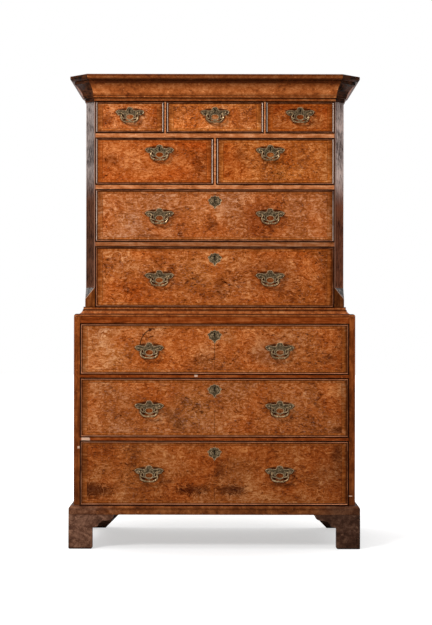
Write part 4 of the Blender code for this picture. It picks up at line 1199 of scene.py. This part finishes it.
upper_rail_walnut = walnut(
    "upper_rail_walnut", RAIL_GRAIN, RAIL_SHADES, 1.3,
    veneer_back=UPPER_FRONT + RAIL_VENEER, darkening=upper_rail_darkening, rows=UPPER_ROWS,
)
lower_rail_walnut = walnut(
    "lower_rail_walnut", RAIL_GRAIN, LOWER_RAIL_SHADES, 4.1,
    veneer_back=LOWER_FRONT + RAIL_VENEER, darkening=top_rail_painted_shade, chips=RAIL_CHIPS, rows=LOWER_ROWS,
)
cornice_walnut = walnut(
    "cornice_walnut", (60, 60, 90), MOULDING_SHADES, 2.7,
    wax=0.0, darkening=cornice_painted_shade, corner=canted_corner, rows="1",
)
waist_walnut = walnut("waist_walnut", (60, 60, 40), MOULDING_SHADES, 8.7, darkening=waist_painted_shade, rows="4")
base_walnut = walnut(
    "base_walnut", (50, 50, 60), BASE_SHADES, 5.9,
    roughness=0.38, darkening=base_painted_shade, right_shade=0.2, worn_ends=0.72, rows="7",
)
side_walnut = walnut(
    "side_walnut", (85, 85, 12), STILE_SHADES, 7.3, darkening=stile_darkening, chips=STILE_CHIPS, rows=LOWER_ROWS
)
flute_walnut = walnut(
    "flute_walnut", (110, 110, 14), STILE_SHADES, 3.7,
    roughness=0.34, wax=0.06, corner=fluted_corner, rows=UPPER_ROWS,
)
# The feet and base in painted shade towards the right
foot_walnut = walnut(
    "foot_walnut", (45, 45, 60), FOOT_SHADES, 9.1, roughness=0.42, darkening=sole_darkening, right_shade=0.58
)
back_deal = deal("back_deal", (55, 55, 3.5), 0.7)
board_deal = deal("board_deal", (3.5, 55, 55), 2.9)
block_deal = deal("block_deal", (55, 55, 6), 6.1)
side_oak = deal("side_oak", (90, 4, 90), 1.1, OAK_SHADES, 0.0)
back_oak = deal("back_oak", (4, 90, 90), 8.3, OAK_SHADES, 0.0)
plate_brass = old_metal("plate_brass", BRASS_SHADES, 0.46, 0.7, 0.3, rim=0.46)
bail_shades = [tuple(2.2 * part for part in shade) for shade in BRASS_SHADES]
bail_brass = old_metal("bail_brass", bail_shades, 0.34, 0.7, 1.9)
lock_iron = old_metal("lock_iron", IRON_SHADES, 0.45, 1.0, 5.3)


def bracket_outline(height):
    """Outline of a shaped bracket, with its outer bottom corner at the origin and the run along +X."""
    points = [(0, FOOT_CHAMFER), (FOOT_CHAMFER, 0), (FOOT_WIDTH - FOOT_CHAMFER, 0)]
    points += [(FOOT_WIDTH, FOOT_CHAMFER), (FOOT_WIDTH, FOOT_STEP[1] - FOOT_STEP_DROP)]
    points += arc(FOOT_STEP, FOOT_HOLLOW, FOOT_BOW, 10)
    points += arc(FOOT_NOSE, (FOOT_NOSE[0] + FOOT_ROUND_RUN, height), -FOOT_BOW, 10)
    points.append((0, height))
    return points


def bracket(name, outline, side, at_front, along_front):
    """A bracket board of a foot, stood at its corner of the base and mitred to its neighbour."""
    low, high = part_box(f"{'front' if at_front else 'rear'}_{'left' if side < 0 else 'right'}_foot")
    x = low.x if side < 0 else high.x
    y = low.y if at_front else high.y
    inward = 1 if at_front else -1
    board = sawn(name, outline, FOOT_BOARD)
    if along_front:
        turn = ((-side, 0, 0), (0, inward, 0), (0, 0, 1))
        keep = Vector((side, inward, 0))
    else:
        turn = ((0, -side, 0), (inward, 0, 0), (0, 0, 1))
        keep = Vector((-side, -inward, 0))
    board.data.transform(Matrix.Translation((x, y, 0)) @ Matrix(turn).to_4x4())
    close_up(board)
    pick(board, "FACE", lambda face: True)
    bpy.ops.mesh.bisect(
        plane_co=(x, y, 0), plane_no=keep, use_fill=True, clear_outer=True, clear_inner=False, threshold=1e-6
    )
    close_up(board)
    return board


def build_feet():
    """Four bracket feet: two mitred boards each, and a glue block in the corner."""
    for hand, side in (("left", -1), ("right", 1)):
        for end, at_front in (("front", True), ("rear", False)):
            foot = f"{end}_{hand}_foot"
            low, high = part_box(foot)
            shaped = bracket_outline(high.z)
            width = REAR_FOOT_WIDTH - (RIGHT_FOOT_TRIM if side > 0 else 0)
            plain = [(0, FOOT_CHAMFER), (FOOT_CHAMFER, 0), (width, 0)]
            plain += [(width + REAR_FOOT_RUN, high.z), (0, high.z)]
            face = bracket(f"{foot}_{end}_board", shaped if at_front else plain, side, at_front, True)
            fit(soften(face, FOOT_EASE), "case", foot_walnut, "walnut_dark", foot)
            board = bracket(f"{foot}_side_board", shaped, side, at_front, False)
            fit(soften(board, FOOT_EASE), "case", foot_walnut, "walnut_dark")
            x = low.x + FOOT_BOARD if side < 0 else high.x - FOOT_BOARD - GLUE_BLOCK
            y = low.y + FOOT_BOARD if at_front else high.y - FOOT_BOARD - GLUE_BLOCK
            far = (x + GLUE_BLOCK, y + GLUE_BLOCK, high.z - GLUE_BLOCK_CLEAR)
            corner = block(f"{foot}_glue_block", (x, y, GLUE_BLOCK_CLEAR), far)
            fit(soften(corner, BLOCK_EASE), "case", block_deal, "pine")


def build_base():
    """Base moulding round three sides, and the bottom board that it edges."""
    face_top = BASE_LOW.z + BASE_FACE
    out = BASE_HIGH.x - LOWER_HALF
    board_bottom = BASE_HIGH.z - BOTTOM_THICKNESS
    section = [(-BASE_INSET, BASE_LOW.z), (out, BASE_LOW.z)]
    section += arc((out, face_top), (BASE_LIP, BASE_HIGH.z), -BASE_BOW, 12)
    section += [(FIT, BASE_HIGH.z), (FIT, board_bottom - FIT), (-BASE_INSET, board_bottom - FIT)]
    piece = run_moulding("base_moulding", section, lower_corners())
    fit(soften(piece), "case", base_walnut, "walnut_case", "base_moulding_and_bottom")
    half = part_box("lower_right_side")[0].x - FIT
    far = (half, BACK - BACK_REBATE, BASE_HIGH.z)
    board = block("bottom_board", (-half, LOWER_FRONT, board_bottom), far)
    fit(soften(board), "case", board_deal, "pine")


def build_waist():
    """Top of the lower chest: rounded edge, moulding round the upper chest's foot, rail and inner board."""
    edge_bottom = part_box("lower_left_side")[1].z + FIT
    edge_top = edge_bottom + TOP_EDGE
    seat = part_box("upper_left_side")[0].z - FIT
    setback = UPPER_HALF - LOWER_HALF
    lip = setback + WAIST_LIP
    fillet = WAIST_HIGH.z - WAIST_FILLET
    section = [(-TOP_INSET, edge_bottom), (0, edge_bottom)]
    section += arc((0, edge_bottom + TOP_EDGE_SQUARE), (-TOP_EDGE_ROUND, edge_top), -WAIST_BOW, 10)
    section += arc((-TOP_EDGE_ROUND - WAIST_STEP, edge_top), (lip + WAIST_FILLET_STEP, fillet), WAIST_BOW, 12)
    section += [(lip, fillet), (lip, WAIST_HIGH.z), (setback + FIT, WAIST_HIGH.z)]
    section += [(setback + FIT, seat), (-TOP_INSET, seat)]
    piece = run_moulding("waist_moulding", section, lower_corners())
    fit(soften(piece, FINE_EASE), "case", waist_walnut, "walnut_case", "lower_top_and_waist_moulding")
    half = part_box("lower_right_side")[0].x - FIT
    far = (half, LOWER_FRONT + TOP_RAIL_DEPTH, edge_bottom)
    rail = block("lower_top_rail", (-half, LOWER_FRONT + FIT, WAIST_LOW.z), far)
    fit(soften(rail), "case", lower_rail_walnut, "walnut_case")
    inner = LOWER_HALF - TOP_INSET
    near = (-inner, LOWER_FRONT + TOP_INSET, edge_bottom)
    board = block("lower_top_board", near, (inner, BACK, edge_top))
    fit(soften(board), "case", board_deal, "pine")


def build_cornice():
    """Cornice moulding with canted corners, and the dust board that closes it."""
    z = CORNICE_LOW.z
    top = CORNICE_HIGH.z
    crown_out = CORNICE_HIGH.x - UPPER_HALF - FIT
    section = [(FIT, z), (FRIEZE[1], z), (FRIEZE[1], z + FRIEZE[0])]
    section += arc((BEAD[1], z + FRIEZE[0]), (BEAD[1], z + BEAD[0]), -BEAD_BOW, 10)
    hollow = (BEAD[1] + MEMBER_STEP, z + BEAD[0])
    section += arc(hollow, (CAVETTO[1], z + CAVETTO[0]), CAVETTO_BOW, 16)
    section += [(FILLET[1], z + CAVETTO[0]), (FILLET[1], z + FILLET[0])]
    crown = (FILLET[1] + MEMBER_STEP, z + FILLET[0])
    section += arc(crown, (CROWN[1], z + CROWN[0]), -CROWN_BOW, 12)
    section += [(crown_out, top), (-CORNICE_INSET, top)]
    section += [(-CORNICE_INSET, top - CORNICE_TOP), (FIT, top - CORNICE_TOP)]
    section = [(min(out, crown_out), up) for out, up in section]
    piece = run_moulding("cornice_moulding", section, upper_corners())
    fit(soften(piece, FINE_EASE), "case", cornice_walnut, "walnut_case", "cornice")
    inner = UPPER_HALF - CORNICE_INSET
    near = (-inner, UPPER_FRONT + CORNICE_INSET, top - DUST_BOARD[0])
    board = block("cornice_dust_board", near, (inner, BACK, top - DUST_BOARD[1]))
    fit(soften(board), "case", board_deal, "pine")


def flute_bar(side, index, bottom, top):
    """A round-ended bar that hollows one flute."""
    pitch = (sqrt(2) * CANT - 2 * FLUTE_BORDER) / FLUTES
    half = (pitch - FLUTE_FILLET) / 2
    radius = (half**2 + FLUTE_DEPTH**2) / (2 * FLUTE_DEPTH)
    across = (index - (FLUTES - 1) / 2) * pitch
    proud = radius - FLUTE_DEPTH
    x = side * (UPPER_HALF - CANT / 2 + (across + proud) / sqrt(2))
    y = UPPER_FRONT + CANT / 2 + (across - proud) / sqrt(2)
    bpy.ops.object.select_all(action="DESELECT")
    foot = (x, y, bottom + radius)
    bpy.ops.mesh.primitive_uv_sphere_add(segments=24, ring_count=10, radius=radius, location=foot)
    bar = added("flute_bar")
    pick(bar, "VERT", lambda vert: vert.co.z > bottom + radius + 1e-5)
    bpy.ops.transform.translate(value=(0, 0, top - bottom))
    bpy.ops.object.mode_set(mode="OBJECT")
    return bar


def build_pilaster(hand, side):
    """A corner post: square block, sloping stop and a fluted cant above it."""
    low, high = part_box(f"{hand}_fluted_pilaster")
    post = block(f"{hand}_pilaster", low, high)
    x, y = side * UPPER_HALF, UPPER_FRONT
    near = (x - CANT_WASTE, y - CANT_WASTE, low.z)
    waste = block("cant_waste", near, (x + CANT_WASTE, y + CANT_WASTE, high.z + CANT_WASTE))
    start = (x - side * CANT, y, STOP_TOP)
    for lean in ((-side, 1, 0), (-side * STOP_RUN, STOP_RUN, -CANT)):
        pick(waste, "FACE", lambda face: True)
        bpy.ops.mesh.bisect(plane_co=start, plane_no=lean, use_fill=True, clear_outer=True)
    close_up(waste)
    cut(post, waste)
    for index in range(FLUTES):
        cut(post, flute_bar(side, index, STOP_TOP + FLUTE_START, high.z + FLUTE_RUN_ON))
    bpy.ops.object.shade_smooth_by_angle(angle=radians(25))
    fit(soften(post, POST_EASE, 1, 32), "case", flute_walnut, "walnut_dark", f"{hand}_fluted_pilaster")


def build_case_boards():
    """Sides, rails, dividers and backs, eased from the frame's own boards, and the nails in the backs."""
    for hand in ("left", "right"):
        for chest in ("lower", "upper"):
            node = f"{chest}_{hand}_side"
            piece = soften(carried_over(node, f"{node}_board"))
            fit(piece, "case", side_walnut, "walnut_dark", node)
    for node, finish in (
        ("lower_rail_5", lower_rail_walnut),
        ("lower_rail_6", lower_rail_walnut),
        ("upper_bottom", upper_rail_walnut),
        ("upper_rail_3", upper_rail_walnut),
        ("upper_divider_frame", upper_rail_walnut),
    ):
        fit(soften(carried_over(node, f"{node}_boards")), "case", finish, "walnut_case", node)
    for chest in ("lower", "upper"):
        node = f"{chest}_back"
        fit(soften(carried_over(node, f"{node}_boards")), "case", back_deal, "pine", node)
        low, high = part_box(node)
        heads = []
        rings = [(NAIL_RADIUS, high.y - NAIL_HEAD), (NAIL_RADIUS, high.y - NAIL_BEVEL), (NAIL_FLAT, high.y)]
        for row in NAIL_ROWS:
            for step in range(2 * BACK_PLANKS):
                x = low.x + (high.x - low.x) * (step // 2 + (0.2, 0.8)[step % 2]) / BACK_PLANKS
                z = low.z + (high.z - low.z) * row
                heads.append(turned(f"{chest}_back_nails", rings, x, z, 10))
        nails = joined(*heads)
        fit(nails, "case", lock_iron, "brass")


def keyhole_tool(x, y, z, depth):
    """A bar of keyhole shape, for cutting through a plate and the wood behind it."""
    outline = [(KEYHOLE_SLOT, -KEYHOLE_FALL)]
    for step in range(13):
        turn = -pi / 3 + step * (5 * pi / 3) / 12
        outline.append((KEYHOLE_EYE * cos(turn), KEYHOLE_EYE * sin(turn)))
    outline.append((-KEYHOLE_SLOT, -KEYHOLE_FALL))
    tool = sawn("keyhole", outline, depth)
    tool.data.transform(Matrix.Translation((x, y, z)))
    return tool


def is_tail(face, facing, middle):
    """Whether a face lies on an end of a drawer side, about a height."""
    return face.normal.y * facing > 0.9 and abs(face.calc_center_median().z - middle) < 0.001


def lining_side(name, x0, x1, y0, y1, z0, z1, front_tail):
    """A drawer side, with tails cut on both ends."""
    board = block(name, (x0, y0, z0), (x1, y1, z1))
    tails = max(2, round((z1 - z0) / TAIL_PITCH))
    pick(board, "EDGE", lambda edge: abs(edge.verts[0].co.z - edge.verts[1].co.z) > 0.01)
    bpy.ops.mesh.subdivide(number_cuts=2 * tails)
    for facing, length in ((-1, front_tail), (1, LINING)):
        for tail in range(tails):
            middle = z0 + (z1 - z0) * (2 * tail + 1.5) / (2 * tails + 1)
            pick(board, "FACE", lambda face: is_tail(face, facing, middle))
            push(facing * length)
            centre = ((x0 + x1) / 2, y0 - length if facing < 0 else y1 + length, middle)
            bpy.ops.transform.resize(value=(1, 1, TAIL_FLARE), center_override=centre)
    close_up(board)
    return board


def build_lock(name, body, x, y, top):
    """An iron lock on the inside of a front: plate, raised case and its cap."""
    near = (x - LOCK_HALF, y, top - LOCK_BOTTOM)
    plate = block(name, near, (x + LOCK_HALF, y + LOCK_PLATE, top - LOCK_TOP))
    pick(plate, "FACE", lambda face: face.normal.y > 0.9)
    for border, height in (LOCK_CASE, LOCK_CAP):
        bpy.ops.mesh.inset(thickness=border)
        push(height)
    bpy.ops.object.mode_set(mode="OBJECT")
    fit(soften(plate, FINE_EASE), body, lock_iron, "brass")


def build_drawer(label, seed):
    """A drawer: veneered front with its cock bead, dovetailed linings, bottom and lock."""
    node = f"drawer_{label}"
    low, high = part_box(node)
    face = front_face(label)
    low.y = face - BEAD_PROUD
    inner = face + FRONT_THICKNESS
    front = block(f"{node}_front", low, (high.x, inner, high.z))
    pick(front, "FACE", lambda item: item.normal.y < -0.9)
    bpy.ops.mesh.inset(thickness=BEAD_WIDTH)
    push(BEAD_PROUD)
    pick(front, "EDGE", lambda edge: all(abs(vert.co.y - low.y) < 1e-6 for vert in edge.verts))
    bpy.ops.mesh.bevel(offset=BEAD_ROUND, segments=4, affect="EDGES")
    bpy.ops.object.mode_set(mode="OBJECT")
    side_top = high.z - SIDE_DROP
    sides = []
    for hand, x0, x1 in (("left", low.x, low.x + LINING), ("right", high.x - LINING, high.x)):
        name = f"{node}_{hand}_side"
        corners = (x0, x1, inner, high.y - LINING, low.z, side_top)
        sides.append(lining_side(name, *corners, FRONT_THICKNESS - LAP))
    rear_low = (low.x, high.y - LINING, low.z + BOTTOM_LIFT + BOTTOM_BOARD)
    rear = block(f"{node}_back", rear_low, (high.x, high.y, high.z - BACK_DROP))
    for side, shift in zip(sides, (-FIT, FIT)):
        cut(front, copied(side, "tail_cutter", (shift, -TAIL_PLAY, 0)))
        cut(rear, copied(side, "tail_cutter", (shift, TAIL_PLAY, 0)))
    pair = label in LONG_ROWS
    plate_low, plate_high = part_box(f"plate_{label}_right" if pair else f"plate_{label}")
    plate_x = (plate_low.x + plate_high.x) / 2
    plate_z = plate_low.z + PLATE_FALL
    if pair:
        lock = (0, high.z - ESCUTCHEON_DROP + ESCUTCHEON_HOLE)
    else:
        lock = (plate_x, plate_z + SHORT_LOCK_RISE)
    cut(front, keyhole_tool(lock[0], face - KEYHOLE_START, lock[1], KEYHOLE_DEPTH))
    build_lock(f"{node}_lock", node, lock[0], inner, high.z)
    only(front)
    bpy.ops.object.shade_smooth_by_angle(angle=radians(40))
    handle = (pair, plate_x - (low.x + high.x) / 2, plate_z)
    fit(front, node, front_veneer(label, low, high, seed, handle, lock), "walnut_front", node)
    for side in sides:
        fit(soften(side, LINING_EASE, 1), node, side_oak, "pine")
    fit(soften(rear, LINING_EASE, 1), node, back_oak, "pine")
    z = low.z + BOTTOM_LIFT
    far = (high.x - LINING, high.y - BOTTOM_SHORT, z + BOTTOM_BOARD)
    board = block(f"{node}_bottom", (low.x + LINING, inner, z), far)
    fit(soften(board, FINE_EASE), node, side_oak, "pine")


def plate_outline():
    """Outline of a handle's back plate, about the middle of its posts."""
    post = POST_SPREAD
    half = [(0, 0.022), (0.0091, 0.0194), (0.013, 0.0105), (0.58 * post, 0.0084), (0.92 * post, 0.0105)]
    half += [(post + 0.0068, 0.0098), (post + 0.0135, 0.0045), (post + 0.0088, -0.0018)]
    half += [(post + 0.0034, -0.0081)]
    half += [(0.83 * post, -0.009), (0.69 * post, -0.0194), (0.33 * post, -0.0232), (0, -PLATE_FALL)]
    return rounded(both_sides(half), 6)


def oval(x, z, width, height, lean):
    """Outline of a leaning oval."""
    outline = []
    for step in range(24):
        turn = 2 * pi * step / 24
        u, v = width / 2 * cos(turn), height / 2 * sin(turn)
        outline.append((x + u * cos(lean) - v * sin(lean), z + u * sin(lean) + v * cos(lean)))
    return outline


def oval_tool(x, z, width, height, lean):
    """An oval bar for piercing a plate."""
    tool = sawn("piercing", oval(x, z, width, height, lean), TOOL_DEPTH)
    tool.data.transform(Matrix.Translation((0, -TOOL_DEPTH / 2, 0)))
    return tool


def oval_rim(x, z, width, height, lean, face):
    """A raised rim round a piercing."""
    wide = 2 * RIM_WIDTH
    rim = sawn("piercing_rim", oval(x, z, width + wide, height + wide, lean), RIM_DEPTH)
    rim.data.transform(Matrix.Translation((0, face, 0)))
    cut(rim, oval_tool(x, z, width, height, lean))
    soften(rim, BRASS_EASE, 1)
    mark_rim(rim, lambda place: 1.0)
    return rim


def mark_rim(piece, worth):
    """Note on each point of a brass how much lighter it is."""
    rubbed = piece.data.attributes.new("rim", "FLOAT", "POINT")
    for vert, item in zip(piece.data.vertices, rubbed.data):
        item.value = worth(vert.co)


def cast_plate(name, outline, thickness, piercings, keyhole_z):
    """A cast plate with a sunk panel and raised rims round its outline and its piercings."""
    plate = sawn(name, outline, thickness)
    plate.data.transform(Matrix.Translation((0, -thickness, 0)))
    pick(plate, "FACE", lambda item: item.normal.y < -0.9)
    bpy.ops.mesh.inset(thickness=RIM_WIDTH, depth=-RIM_DEPTH / 2)
    bpy.ops.object.mode_set(mode="OBJECT")
    for piercing in piercings:
        cut(plate, oval_tool(*piercing))
    if keyhole_z is not None:
        cut(plate, keyhole_tool(0, -TOOL_DEPTH / 2, keyhole_z, TOOL_DEPTH))
    soften(plate, BRASS_EASE, 1)
    mark_rim(plate, lambda place: 1.0 if place.y < -thickness + RIM_DEPTH / 3 else 0.0)
    return joined(plate, *(oval_rim(*piercing, -thickness) for piercing in piercings))


def back_plate(name, with_keyhole):
    """A pierced plate with two turned ball posts, its back on Y = 0 and its posts on Z = 0."""
    piercings = [(0, -0.5 * PLATE_FALL, 0.028, 0.018, 0)]
    for side in (-1, 1):
        piercings.append((side * 0.64 * POST_SPREAD, -0.36 * PLATE_FALL, 0.007, 0.017, -side * 0.35))
    keyhole_z = SHORT_LOCK_RISE if with_keyhole else None
    plate = cast_plate(name, plate_outline(), PLATE_THICKNESS, piercings, keyhole_z)
    reach = POST_REACH - FIT
    posts = []
    for side in (-1, 1):
        rings = [(0.0050, -0.001), (0.0050, -0.0026), (0.0038, -0.0036), (0.0026, -0.006), (0.0028, -0.010)]
        for step in range(7):
            turn = -0.95 + step * (pi / 2 + 0.95 - 0.12) / 6
            rings.append((BALL * cos(turn), -reach - BALL * sin(turn)))
        post = turned(f"{name}_post", rings, side * POST_SPREAD, 0, 20)
        mark_rim(post, lambda place: 0.1)
        bpy.ops.object.shade_smooth_by_angle(angle=radians(45))
        posts.append(post)
    return joined(plate, *posts)


def bail(name):
    """A swan-neck bail hung between the posts, with its pins on the X axis."""
    inner = POST_SPREAD - BALL
    neck = inner - 0.0056
    path = [
        (inner + 0.0042, 0, PIN_RADIUS),
        (inner - 0.0003, 0, PIN_RADIUS),
        (inner - 0.0018, -0.0001, NECK_RADIUS),
        (neck + 0.0012, -0.0016, NECK_RADIUS),
        (neck, -0.2 * BAIL_DROP, NECK_RADIUS),
        (neck + 0.003, -0.42 * BAIL_DROP, NECK_RADIUS),
        (neck, -0.75 * BAIL_DROP, 0.0029),
        (neck - 0.011, -0.95 * BAIL_DROP, GRIP_RADIUS),
        (0, -BAIL_DROP, GRIP_RADIUS),
    ]
    whole = path + [(-x, z, radius) for x, z, radius in reversed(path[:-1])]
    bpy.ops.object.select_all(action="DESELECT")
    bpy.ops.curve.primitive_bezier_curve_add()
    piece = bpy.context.object
    line = piece.data
    line.bevel_depth = 1.0
    line.bevel_resolution = 4
    line.resolution_u = 5
    line.use_fill_caps = True
    spline = line.splines[0]
    spline.bezier_points.add(len(whole) - 2)
    for point, (x, z, radius) in zip(spline.bezier_points, whole):
        point.co = (x, 0, z)
        point.radius = radius
        point.handle_left_type = point.handle_right_type = "AUTO"
    bpy.ops.object.convert(target="MESH")
    piece = added(name)
    pick(piece, "FACE", lambda face: True)
    bpy.ops.mesh.remove_doubles(threshold=0.00001)
    close_up(piece)
    bpy.ops.object.shade_smooth_by_angle(angle=radians(50))
    return piece


def escutcheon(name):
    """A lobed shield with a keyhole, its back on Y = 0 and its middle at the origin."""
    wide, rise, fall = 0.026, 0.022, 0.027
    half = [(0, rise), (0.35 * wide, 0.82 * rise), (0.5 * wide, 0.9 * rise), (0.7 * wide, 0.55 * rise)]
    half += [(wide, 0.27 * rise), (0.8 * wide, -0.1 * fall), (0.77 * wide, -0.37 * fall)]
    half += [(0.38 * wide, -0.55 * fall), (0.2 * wide, -0.7 * fall), (0, -fall)]
    slits = [(side * 0.0115, 0.001, 0.003, 0.009, side * 0.35) for side in (-1, 1)]
    outline = rounded(both_sides(half), 5)
    return cast_plate(name, outline, ESCUTCHEON_THICKNESS, slits, ESCUTCHEON_HOLE)


def post_nuts(name):
    """The two nuts behind a handle, screwed on the ends of its posts."""
    nut = [(0.0065, 0.0), (0.0065, 0.0035), (0.0050, 0.0042)]
    thread = [(0.0022, 0.0042), (0.0022, 0.0075), (0.0012, 0.008)]
    return joined(*(turned(name, nut + thread, side * POST_SPREAD, 0, 6) for side in (-1, 1)))


def build_handles(labels):
    """A plate, a bail and two nuts for each handle, copied from patterns."""
    long_plate = back_plate("long_plate_pattern", False)
    short_plate = back_plate("short_plate_pattern", True)
    swan = bail("bail_pattern")
    nuts = post_nuts("nut_pattern")
    for label in labels:
        is_long = label[0] in LONG_ROWS
        carrier = f"drawer_{label[0]}" if is_long else f"drawer_{label}"
        face = front_face(label)
        low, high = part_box(f"plate_{label}")
        x = (low.x + high.x) / 2
        z = low.z + PLATE_FALL
        pattern = long_plate if is_long else short_plate
        plate = copied(pattern, f"back_plate_{label}", (x, face - FIT, z))
        fit(plate, carrier, plate_brass, "brass", f"plate_{label}")
        loop = copied(swan, f"swan_bail_{label}", (x, face - POST_REACH, z))
        fit(loop, f"bail_{label}", bail_brass, "brass", f"bail_{label}")
        pair = copied(nuts, f"nuts_{label}", (x, face + FRONT_THICKNESS, z))
        fit(pair, carrier, bail_brass, "brass")
    for pattern in (long_plate, short_plate, swan, nuts):
        bpy.data.objects.remove(pattern)


def build_escutcheons():
    """A shield over the lock of each long drawer."""
    pattern = escutcheon("shield_pattern")
    for row in LONG_ROWS:
        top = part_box(f"drawer_{row}")[1].z
        shield = copied(pattern, f"escutcheon_{row}", (0, front_face(row), top - ESCUTCHEON_DROP))
        fit(shield, f"drawer_{row}", plate_brass, "brass")
    bpy.data.objects.remove(pattern)


def build_paper():
    """A pale paper floor that the camera sees white, with a painted shadow round the chest where its glow is
    dimmed.
    """
    paper = Finish("studio_paper", 1.0)
    paper.nodes.remove(paper.shader)
    rays = paper.nodes.new("ShaderNodeLightPath").outputs
    mirrored = paper.calc("MULTIPLY", rays["Is Glossy Ray"], paper.y > LOWER_FRONT)
    seen = paper.calc("MAXIMUM", rays["Is Camera Ray"], mirrored)
    distance = paper.nodes.new("ShaderNodeVectorMath")
    distance.operation = "LENGTH"
    paper.feed(distance.inputs[0], paper.place)
    # painted shadow: the paper's glow dimmed near the chest
    shadow = paper.between(distance.outputs["Value"], 0.40, 1.5, 0.50, 1.0, "LINEAR")
    glow = paper.nodes.new("ShaderNodeEmission")
    paper.feed(glow.inputs["Strength"], seen * shadow)
    matte = paper.nodes.new("ShaderNodeBsdfDiffuse")
    paper.feed(matte.inputs["Color"], PAPER_SHADE)
    both = paper.nodes.new("ShaderNodeAddShader")
    paper.feed(both.inputs[0], glow.outputs[0])
    paper.feed(both.inputs[1], matte.outputs[0])
    paper.feed(paper.nodes["Material Output"].inputs["Surface"], both.outputs[0])
    bpy.ops.object.select_all(action="DESELECT")
    bpy.ops.mesh.primitive_plane_add(size=1)
    bpy.context.object.scale = (PAPER_SIZE, PAPER_SIZE, 1)
    floor = added("studio_floor")
    floor.data.materials.append(paper.material)


def build_world():
    """A white backdrop for the camera, which lights the chest most from behind it."""
    world = bpy.data.worlds.new("studio")
    bpy.context.scene.world = world
    sky = Tree(world)
    rays = sky.nodes.new("ShaderNodeLightPath").outputs
    _, back, _ = sky.split(sky.nodes.new("ShaderNodeTexCoord").outputs["Generated"])
    paper_side = sky.between(back, -0.80, -0.10, 0.05, 0.85, "LINEAR")
    backdrop = sky.nodes["Background"].inputs
    sky.feed(backdrop["Color"], (1, 1, 1))
    sky.feed(backdrop["Strength"], sky.calc("MAXIMUM", rays["Is Camera Ray"], paper_side))


def lamp(name, place, aim, size, power):
    """A flat softbox at a place, turned to its aim."""
    light = bpy.data.lights.new(name, "AREA")
    light.shape = "RECTANGLE"
    light.size, light.size_y = size
    light.energy = power
    item = bpy.data.objects.new(name, light)
    bpy.context.scene.collection.objects.link(item)
    item.location = place
    item.rotation_euler = (Vector(aim) - Vector(place)).to_track_quat("-Z", "Y").to_euler()


def build_studio():
    """Pale floor and backdrop, soft lamps and the camera."""
    build_paper()
    build_world()
    lamp("key_softbox", (-2.5, -3.2, 3.4), (0, -0.2, 1.15), (1.3, 1.3), 165)
    lamp("fill_softbox", (3.0, -3.8, 2.0), (0, -0.2, 1.0), (2.0, 2.0), 16)
    lamp("overhead_softbox", (0, 0.2, 4.0), (0, 0, 0), (3.0, 2.4), 60)
    camera = bpy.data.objects.new("camera", bpy.data.cameras.new("camera"))
    bpy.context.scene.collection.objects.link(camera)
    camera.data.sensor_fit = "VERTICAL"
    camera.data.sensor_height = 36
    camera.data.lens = CAMERA_LENS
    camera.location = (CAMERA_ACROSS, LOWER_FRONT - CAMERA_DISTANCE, CAMERA_HEIGHT)
    camera.rotation_euler = (pi / 2, radians(CAMERA_ROLL), 0)
    bpy.context.scene.camera = camera
    bpy.context.scene.view_settings.view_transform = "Standard"


build_feet()
build_base()
build_waist()
build_case_boards()
for hand, side in (("left", -1), ("right", 1)):
    build_pilaster(hand, side)
build_cornice()
for order, label in enumerate(TONES):
    build_drawer(label, SEED_STEP * order + FIRST_SEED)
build_escutcheons()
build_handles([node.removeprefix("plate_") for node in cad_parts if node.startswith("plate_")])
build_studio()
